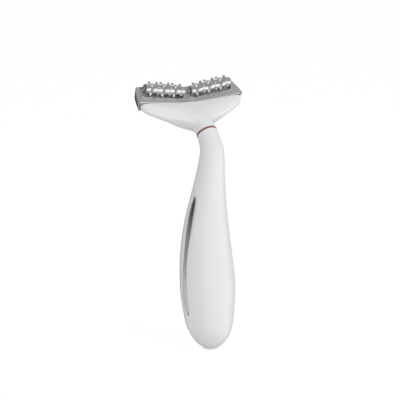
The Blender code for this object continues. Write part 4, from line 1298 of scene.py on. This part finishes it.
class MASSAGER_OT_light_windows(bpy.types.Operator):
    """Model the milky windows in the floors of the wells"""
    bl_idname = "massager.light_windows"
    bl_label = "Light windows"

    def execute(self, context):
        s = sizes()
        material = milky_lens()
        half_length, half_width = WINDOW_HALVES
        slope = math.tan(math.radians(abs(s.roller_tilt - s.valley_slope)))
        under = -s.roller_rise - s.plate_depth - FLANGE_REACH * slope - 2 * s.gap
        top = -s.well_depth - s.gap
        for word, mount in roller_mounts():
            rings = []
            for y, widen in (
                (under - FLANGE_THICKNESS, FLANGE_WIDTH - SOFT_EDGE),
                (under - FLANGE_THICKNESS + SOFT_EDGE, FLANGE_WIDTH),
                (under - SOFT_EDGE, FLANGE_WIDTH),
                (under, FLANGE_WIDTH - SOFT_EDGE),
                (under, 0),
                (top - LEAD_EDGE, 0),
                (top - SOFT_EDGE, -SOFT_EDGE),
                (top, -LEAD_EDGE),
            ):
                outline = slot_points(half_length + widen, half_width + widen)
                rings.append([Vector((x, y, z)) for z, x in outline])
            lens = settle(drawn_through(f"light_window_{word}", rings), mount)
            finished(lens, "body", material, [f"led_lens_{word}"])
        return {"FINISHED"}


# Controls and base


class MASSAGER_OT_button(bpy.types.Operator):
    """Model the dished power button and the status light on the back"""
    bl_idname = "massager.button"
    bl_label = "Button and status light"

    def execute(self, context):
        s = sizes()
        low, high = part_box("power_button")
        depth = high.y - low.y
        radius = s.button_radius
        soft = s.gap
        flange = BUTTON_FLANGE
        profile = [(0, 0), (radius + flange, 0), (radius + flange, flange), (radius, flange)]
        for angle in arc(0, 90, steps=5):
            profile.append((radius - soft + soft * math.cos(angle), depth - soft + soft * math.sin(angle)))
        for share in evenly(1, 0, steps=8, first=1):
            profile.append(((radius - 2 * soft) * share, depth - BUTTON_DISH * (1 - share * share)))
        button = settle(turned("push_button", profile, steps=72), back_place(s.button_height, low.y))
        white = bpy.data.materials["white_plastic"]
        finished(button, "button", white, ["power_button"])
        low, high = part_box("status_light_pipe")
        depth = high.y - low.y
        radius = s.pipe_radius
        profile = [(0, 0), (radius, 0)]
        for angle in arc(0, 90, steps=6):
            profile.append((radius * math.cos(angle), depth - radius / 3 + radius / 3 * math.sin(angle)))
        light = settle(turned("status_light", profile, steps=32), back_place(s.pipe_height, low.y))
        finished(light, "body", bpy.data.materials["milky_lens"], ["status_light_pipe"])
        return {"FINISHED"}


class MASSAGER_OT_base_plug(bpy.types.Operator):
    """Model the soft plug that closes the inlet in the base"""
    bl_idname = "massager.base_plug"
    bl_label = "Base plug"

    def execute(self, context):
        s = sizes()
        radius = s.plug_radius
        thick = s.plug_thickness
        soft = thick / 3
        profile = [(0, 0), (radius - soft, 0)]
        for angle in arc(-90, 0, steps=4, first=1):
            profile.append((radius - soft + soft * math.cos(angle), soft + soft * math.sin(angle)))
        profile += [(radius, thick - soft / 2), (radius - soft / 2, thick), (0, thick)]
        plug = turned("base_plug", profile, steps=96)
        half = TAB_HALF_WIDTH
        tab = []
        for x, inset in ((0, 0), (radius + half / 3, 0), (radius + half / 2, soft / 2)):
            tab.append([Vector((x, y, z)) for y, z in rectangle(half - inset, 0, thick / 2)])
        joined_with(plug, drawn_through("tab", tab), "UNION")
        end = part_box("port_plug")[1].z
        half_width, half_depth = STEM_HALVES
        stem = []
        for z, inset in (
            (thick / 2, 0), (end - LEAD_EDGE, 0), (end - SOFT_EDGE, SOFT_EDGE), (end, LEAD_EDGE),
        ):
            outline = slot_points(half_width - inset, half_depth - inset)
            stem.append([Vector((x, y, z)) for x, y in outline])
        joined_with(plug, drawn_through("stem", stem), "UNION")
        half_width, half_depth = POCKET_HALVES
        outline = rectangle(half_width, -half_depth, half_depth)
        pocket = [[Vector((x, y, z)) for x, y in outline] for z in (thick + s.gap, end + s.gap)]
        joined_with(plug, drawn_through("pocket", pocket), "DIFFERENCE")
        finished(plug, "plug", clear_silicone(), ["port_plug"])
        return {"FINISHED"}


class MASSAGER_OT_inner_parts(bpy.types.Operator):
    """Give the inner parts their materials"""
    bl_idname = "massager.inner_parts"
    bl_label = "Inner parts"

    def execute(self, context):
        red = wire_skin("red_wire", tuple(colours().red_wire))
        grey = wire_skin("grey_wire", tuple(colours().wire))
        finishes = {
            steel(): (
                "axle_left", "axle_right", "board_screw_lower", "board_screw_upper", "strip_contact_left",
                "strip_contact_right", "charging_socket",
            ),
            bearing_plastic(): (
                "bush_left_inner", "bush_left_outer", "bush_right_inner", "bush_right_outer",
            ),
            inner_plastic(): ("neck_tube", "battery_cradle", "tact_switch", "switch_plunger"),
            circuit_board(): ("main_board", "charge_board", "led_board_left", "led_board_right"),
            cell_wrap(): ("battery_cell",),
            red: ("battery_wire_red",),
            grey: ("battery_wire_black", "charge_cable", "head_cable"),
        }
        for material, names in finishes.items():
            for name in names:
                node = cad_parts[name]
                node.data.materials.clear()
                node.data.materials.append(material)
        return {"FINISHED"}


# Stage


def stage_settings():
    """The stage's settings in the scene."""
    return bpy.context.scene.massager_stage


def camera_axes():
    """The view's right, its up, and the direction from the target back to the camera."""
    stage = stage_settings()
    turn = math.radians(-stage.azimuth)
    rise = math.radians(stage.elevation)
    back = Vector((math.sin(turn) * math.cos(rise), -math.cos(turn) * math.cos(rise), math.sin(rise)))
    right = Vector((math.cos(turn), math.sin(turn), 0))
    return right, back.cross(right), back


def stepped(tree, value, start, end):
    """A smooth step from nought at one value to one at another."""
    node = tree.nodes.new("ShaderNodeMapRange")
    node.interpolation_type = "SMOOTHSTEP"
    node.inputs["From Min"].default_value = start
    node.inputs["From Max"].default_value = end
    tree.links.new(value, node.inputs["Value"])
    return node.outputs["Result"]


def calculated(tree, operation, *values):
    """What a maths node makes of sockets and numbers."""
    node = tree.nodes.new("ShaderNodeMath")
    node.operation = operation
    for value, socket in zip(values, node.inputs):
        if isinstance(value, float):
            socket.default_value = value
        else:
            tree.links.new(value, socket)
    return node.outputs["Value"]


def toward(tree, direction, aim):
    """How far a direction points to an aim."""
    node = tree.nodes.new("ShaderNodeVectorMath")
    node.operation = "DOT_PRODUCT"
    node.inputs[1].default_value = aim
    tree.links.new(direction, node.inputs[0])
    return node.outputs["Value"]


def blended(tree, factor, level, other):
    """A grey level blended by a factor with another."""
    node = tree.nodes.new("ShaderNodeMix")
    node.inputs["B"].default_value = other
    tree.links.new(factor, node.inputs["Factor"])
    tree.links.new(level, node.inputs["A"])
    return node.outputs["Result"]


def mixed(tree, factor, first, second):
    """Two shaders mixed by a factor."""
    node = tree.nodes.new("ShaderNodeMixShader")
    for value, socket in zip((factor, first, second), node.inputs):
        tree.links.new(value, socket)
    return node.outputs["Shader"]


def light_of(tree, kind, strength):
    """A white light node of one kind, with its strength."""
    node = tree.nodes.new(kind)
    node.inputs["Color"].default_value = (1, 1, 1, 1)
    node.inputs["Strength"].default_value = strength
    return node


def reflected_level(tree):
    """What polished surfaces see: white low down and grey overhead, with grey and dark cards round it."""
    direction = tree.nodes.new("ShaderNodeTexCoord").outputs["Generated"]
    up = toward(tree, direction, (0, 0, 1))
    ramp = tree.nodes.new("ShaderNodeValToRGB")
    stops = ramp.color_ramp.elements
    for number, (place, grey) in enumerate(SKY_STOPS):
        stop = stops[number] if number < 2 else stops.new(place)
        stop.position = place
        stop.color = (grey, grey, grey, 1)
    tree.links.new(up, ramp.inputs["Fac"])
    level = ramp.outputs["Color"]
    for aim, nearness, heights, grey in SKY_CARDS:
        card = stepped(tree, toward(tree, direction, aim), *nearness)
        for start, end in heights:
            card = calculated(tree, "MULTIPLY", card, stepped(tree, up, start, end))
        level = blended(tree, card, level, grey)
    return level


def studio_sky():
    """A sky that is white behind the object, with its own light in reflections."""
    stage = stage_settings()
    world = bpy.data.worlds.new("studio")
    bpy.context.scene.world = world
    world.use_nodes = True
    tree = world.node_tree
    for node in list(tree.nodes):
        tree.nodes.remove(node)
    path = tree.nodes.new("ShaderNodeLightPath").outputs
    soft = light_of(tree, "ShaderNodeBackground", stage.sky_level)
    gloss = light_of(tree, "ShaderNodeBackground", stage.glint)
    white = light_of(tree, "ShaderNodeBackground", 1)
    tree.links.new(reflected_level(tree), gloss.inputs["Color"])
    cast = mixed(tree, path["Is Glossy Ray"], soft.outputs[0], gloss.outputs[0])
    seen = calculated(tree, "MAXIMUM", path["Is Camera Ray"], path["Is Transmission Ray"])
    output = tree.nodes.new("ShaderNodeOutputWorld")
    tree.links.new(mixed(tree, seen, cast, white.outputs[0]), output.inputs["Surface"])


def pale_floor():
    """A white floor that keeps a soft shadow and, on its lit side, brightens dull surfaces above it."""
    stage = stage_settings()
    at_rest()
    bpy.ops.mesh.primitive_plane_add(size=stage.floor_size, location=(0, 0, 0))
    floor = named("floor")
    material, tree, shader = new_material("white_floor", (FLOOR_GREY,) * 3, FLOOR_ROUGHNESS)
    shader.inputs["Specular IOR Level"].default_value = 0.0
    glow = light_of(tree, "ShaderNodeEmission", stage.floor_glow)
    path = tree.nodes.new("ShaderNodeLightPath").outputs
    seen = calculated(tree, "MULTIPLY", path["Is Camera Ray"], stage.floor_glow_share)
    spot = tree.nodes.new("ShaderNodeTexCoord").outputs["Object"]
    lit_side = stepped(tree, toward(tree, spot, LIT_SIDE), *LIT_RANGE)
    bounce = calculated(tree, "MULTIPLY", path["Is Diffuse Ray"], lit_side)
    share = calculated(tree, "MULTIPLY_ADD", bounce, stage.floor_bounce, seen)
    look = mixed(tree, share, shader.outputs[0], glow.outputs[0])
    tree.links.new(look, tree.nodes["Material Output"].inputs["Surface"])
    floor.data.materials.append(material)
    floor.visible_glossy = False


def soft_lamp(name, place, size, power):
    """A large soft lamp that faces the target."""
    data = bpy.data.lights.new(name, "AREA")
    data.shape = "DISK"
    data.size = size
    data.energy = power
    lamp = bpy.data.objects.new(name, data)
    bpy.context.scene.collection.objects.link(lamp)
    lamp.location = place
    lamp.visible_glossy = False
    lamp.rotation_euler = (TARGET - place).to_track_quat("-Z", "Y").to_euler()


class MASSAGER_OT_stage(bpy.types.Operator):
    """Set up floor, sky, lamps and camera"""
    bl_idname = "massager.stage"
    bl_label = "Stage"

    def execute(self, context):
        stage = stage_settings()
        scene = bpy.context.scene
        studio_sky()
        pale_floor()
        right, up, back = camera_axes()
        powers = (stage.key_power, stage.fill_power)
        for (name, aside, nearer, above, size), power in zip(LAMPS, powers):
            soft_lamp(name, TARGET + aside * right + nearer * back + above * up, size, power)
        data = bpy.data.cameras.new("camera")
        data.lens = data.sensor_width * stage.distance / stage.view_width
        data.clip_start, data.clip_end = CLIP_RANGE
        camera = bpy.data.objects.new("camera", data)
        scene.collection.objects.link(camera)
        turn = Matrix((right, up, back)).transposed().to_4x4()
        camera.matrix_world = Matrix.Translation(TARGET + back * stage.distance) @ turn
        scene.camera = camera
        scene.view_settings.view_transform = "Standard"
        return {"FINISHED"}


OPERATORS = (
    MASSAGER_OT_handle,
    MASSAGER_OT_strips,
    MASSAGER_OT_neck_ring,
    MASSAGER_OT_housing,
    MASSAGER_OT_roller_frame,
    MASSAGER_OT_rollers,
    MASSAGER_OT_light_windows,
    MASSAGER_OT_button,
    MASSAGER_OT_base_plug,
    MASSAGER_OT_inner_parts,
    MASSAGER_OT_stage,
)


class MASSAGER_PT_panel(bpy.types.Panel):
    """Lists the operators in the sidebar"""
    bl_label = "Massager"
    bl_idname = "MASSAGER_PT_panel"
    bl_space_type = "VIEW_3D"
    bl_region_type = "UI"
    bl_category = "Massager"

    def draw(self, context):
        for operator in OPERATORS:
            self.layout.operator(operator.bl_idname)


CLASSES = (MassagerSizes, MassagerColours, MassagerStage) + OPERATORS + (MASSAGER_PT_panel,)


def register():
    """Registers the classes and hangs the properties on the scene."""
    for item in CLASSES:
        bpy.utils.register_class(item)
    bpy.types.Scene.massager_sizes = PointerProperty(type=MassagerSizes)
    bpy.types.Scene.massager_colours = PointerProperty(type=MassagerColours)
    bpy.types.Scene.massager_stage = PointerProperty(type=MassagerStage)


def unregister():
    """Takes the properties and the classes away again."""
    del bpy.types.Scene.massager_stage
    del bpy.types.Scene.massager_colours
    del bpy.types.Scene.massager_sizes
    for item in reversed(CLASSES):
        bpy.utils.unregister_class(item)


def main():
    """Registers the classes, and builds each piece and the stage."""
    register()
    bpy.ops.massager.handle()
    bpy.ops.massager.strips()
    bpy.ops.massager.neck_ring()
    bpy.ops.massager.housing()
    bpy.ops.massager.roller_frame()
    bpy.ops.massager.rollers()
    bpy.ops.massager.light_windows()
    bpy.ops.massager.button()
    bpy.ops.massager.base_plug()
    bpy.ops.massager.inner_parts()
    bpy.ops.massager.stage()


if __name__ == "__main__":
    main()
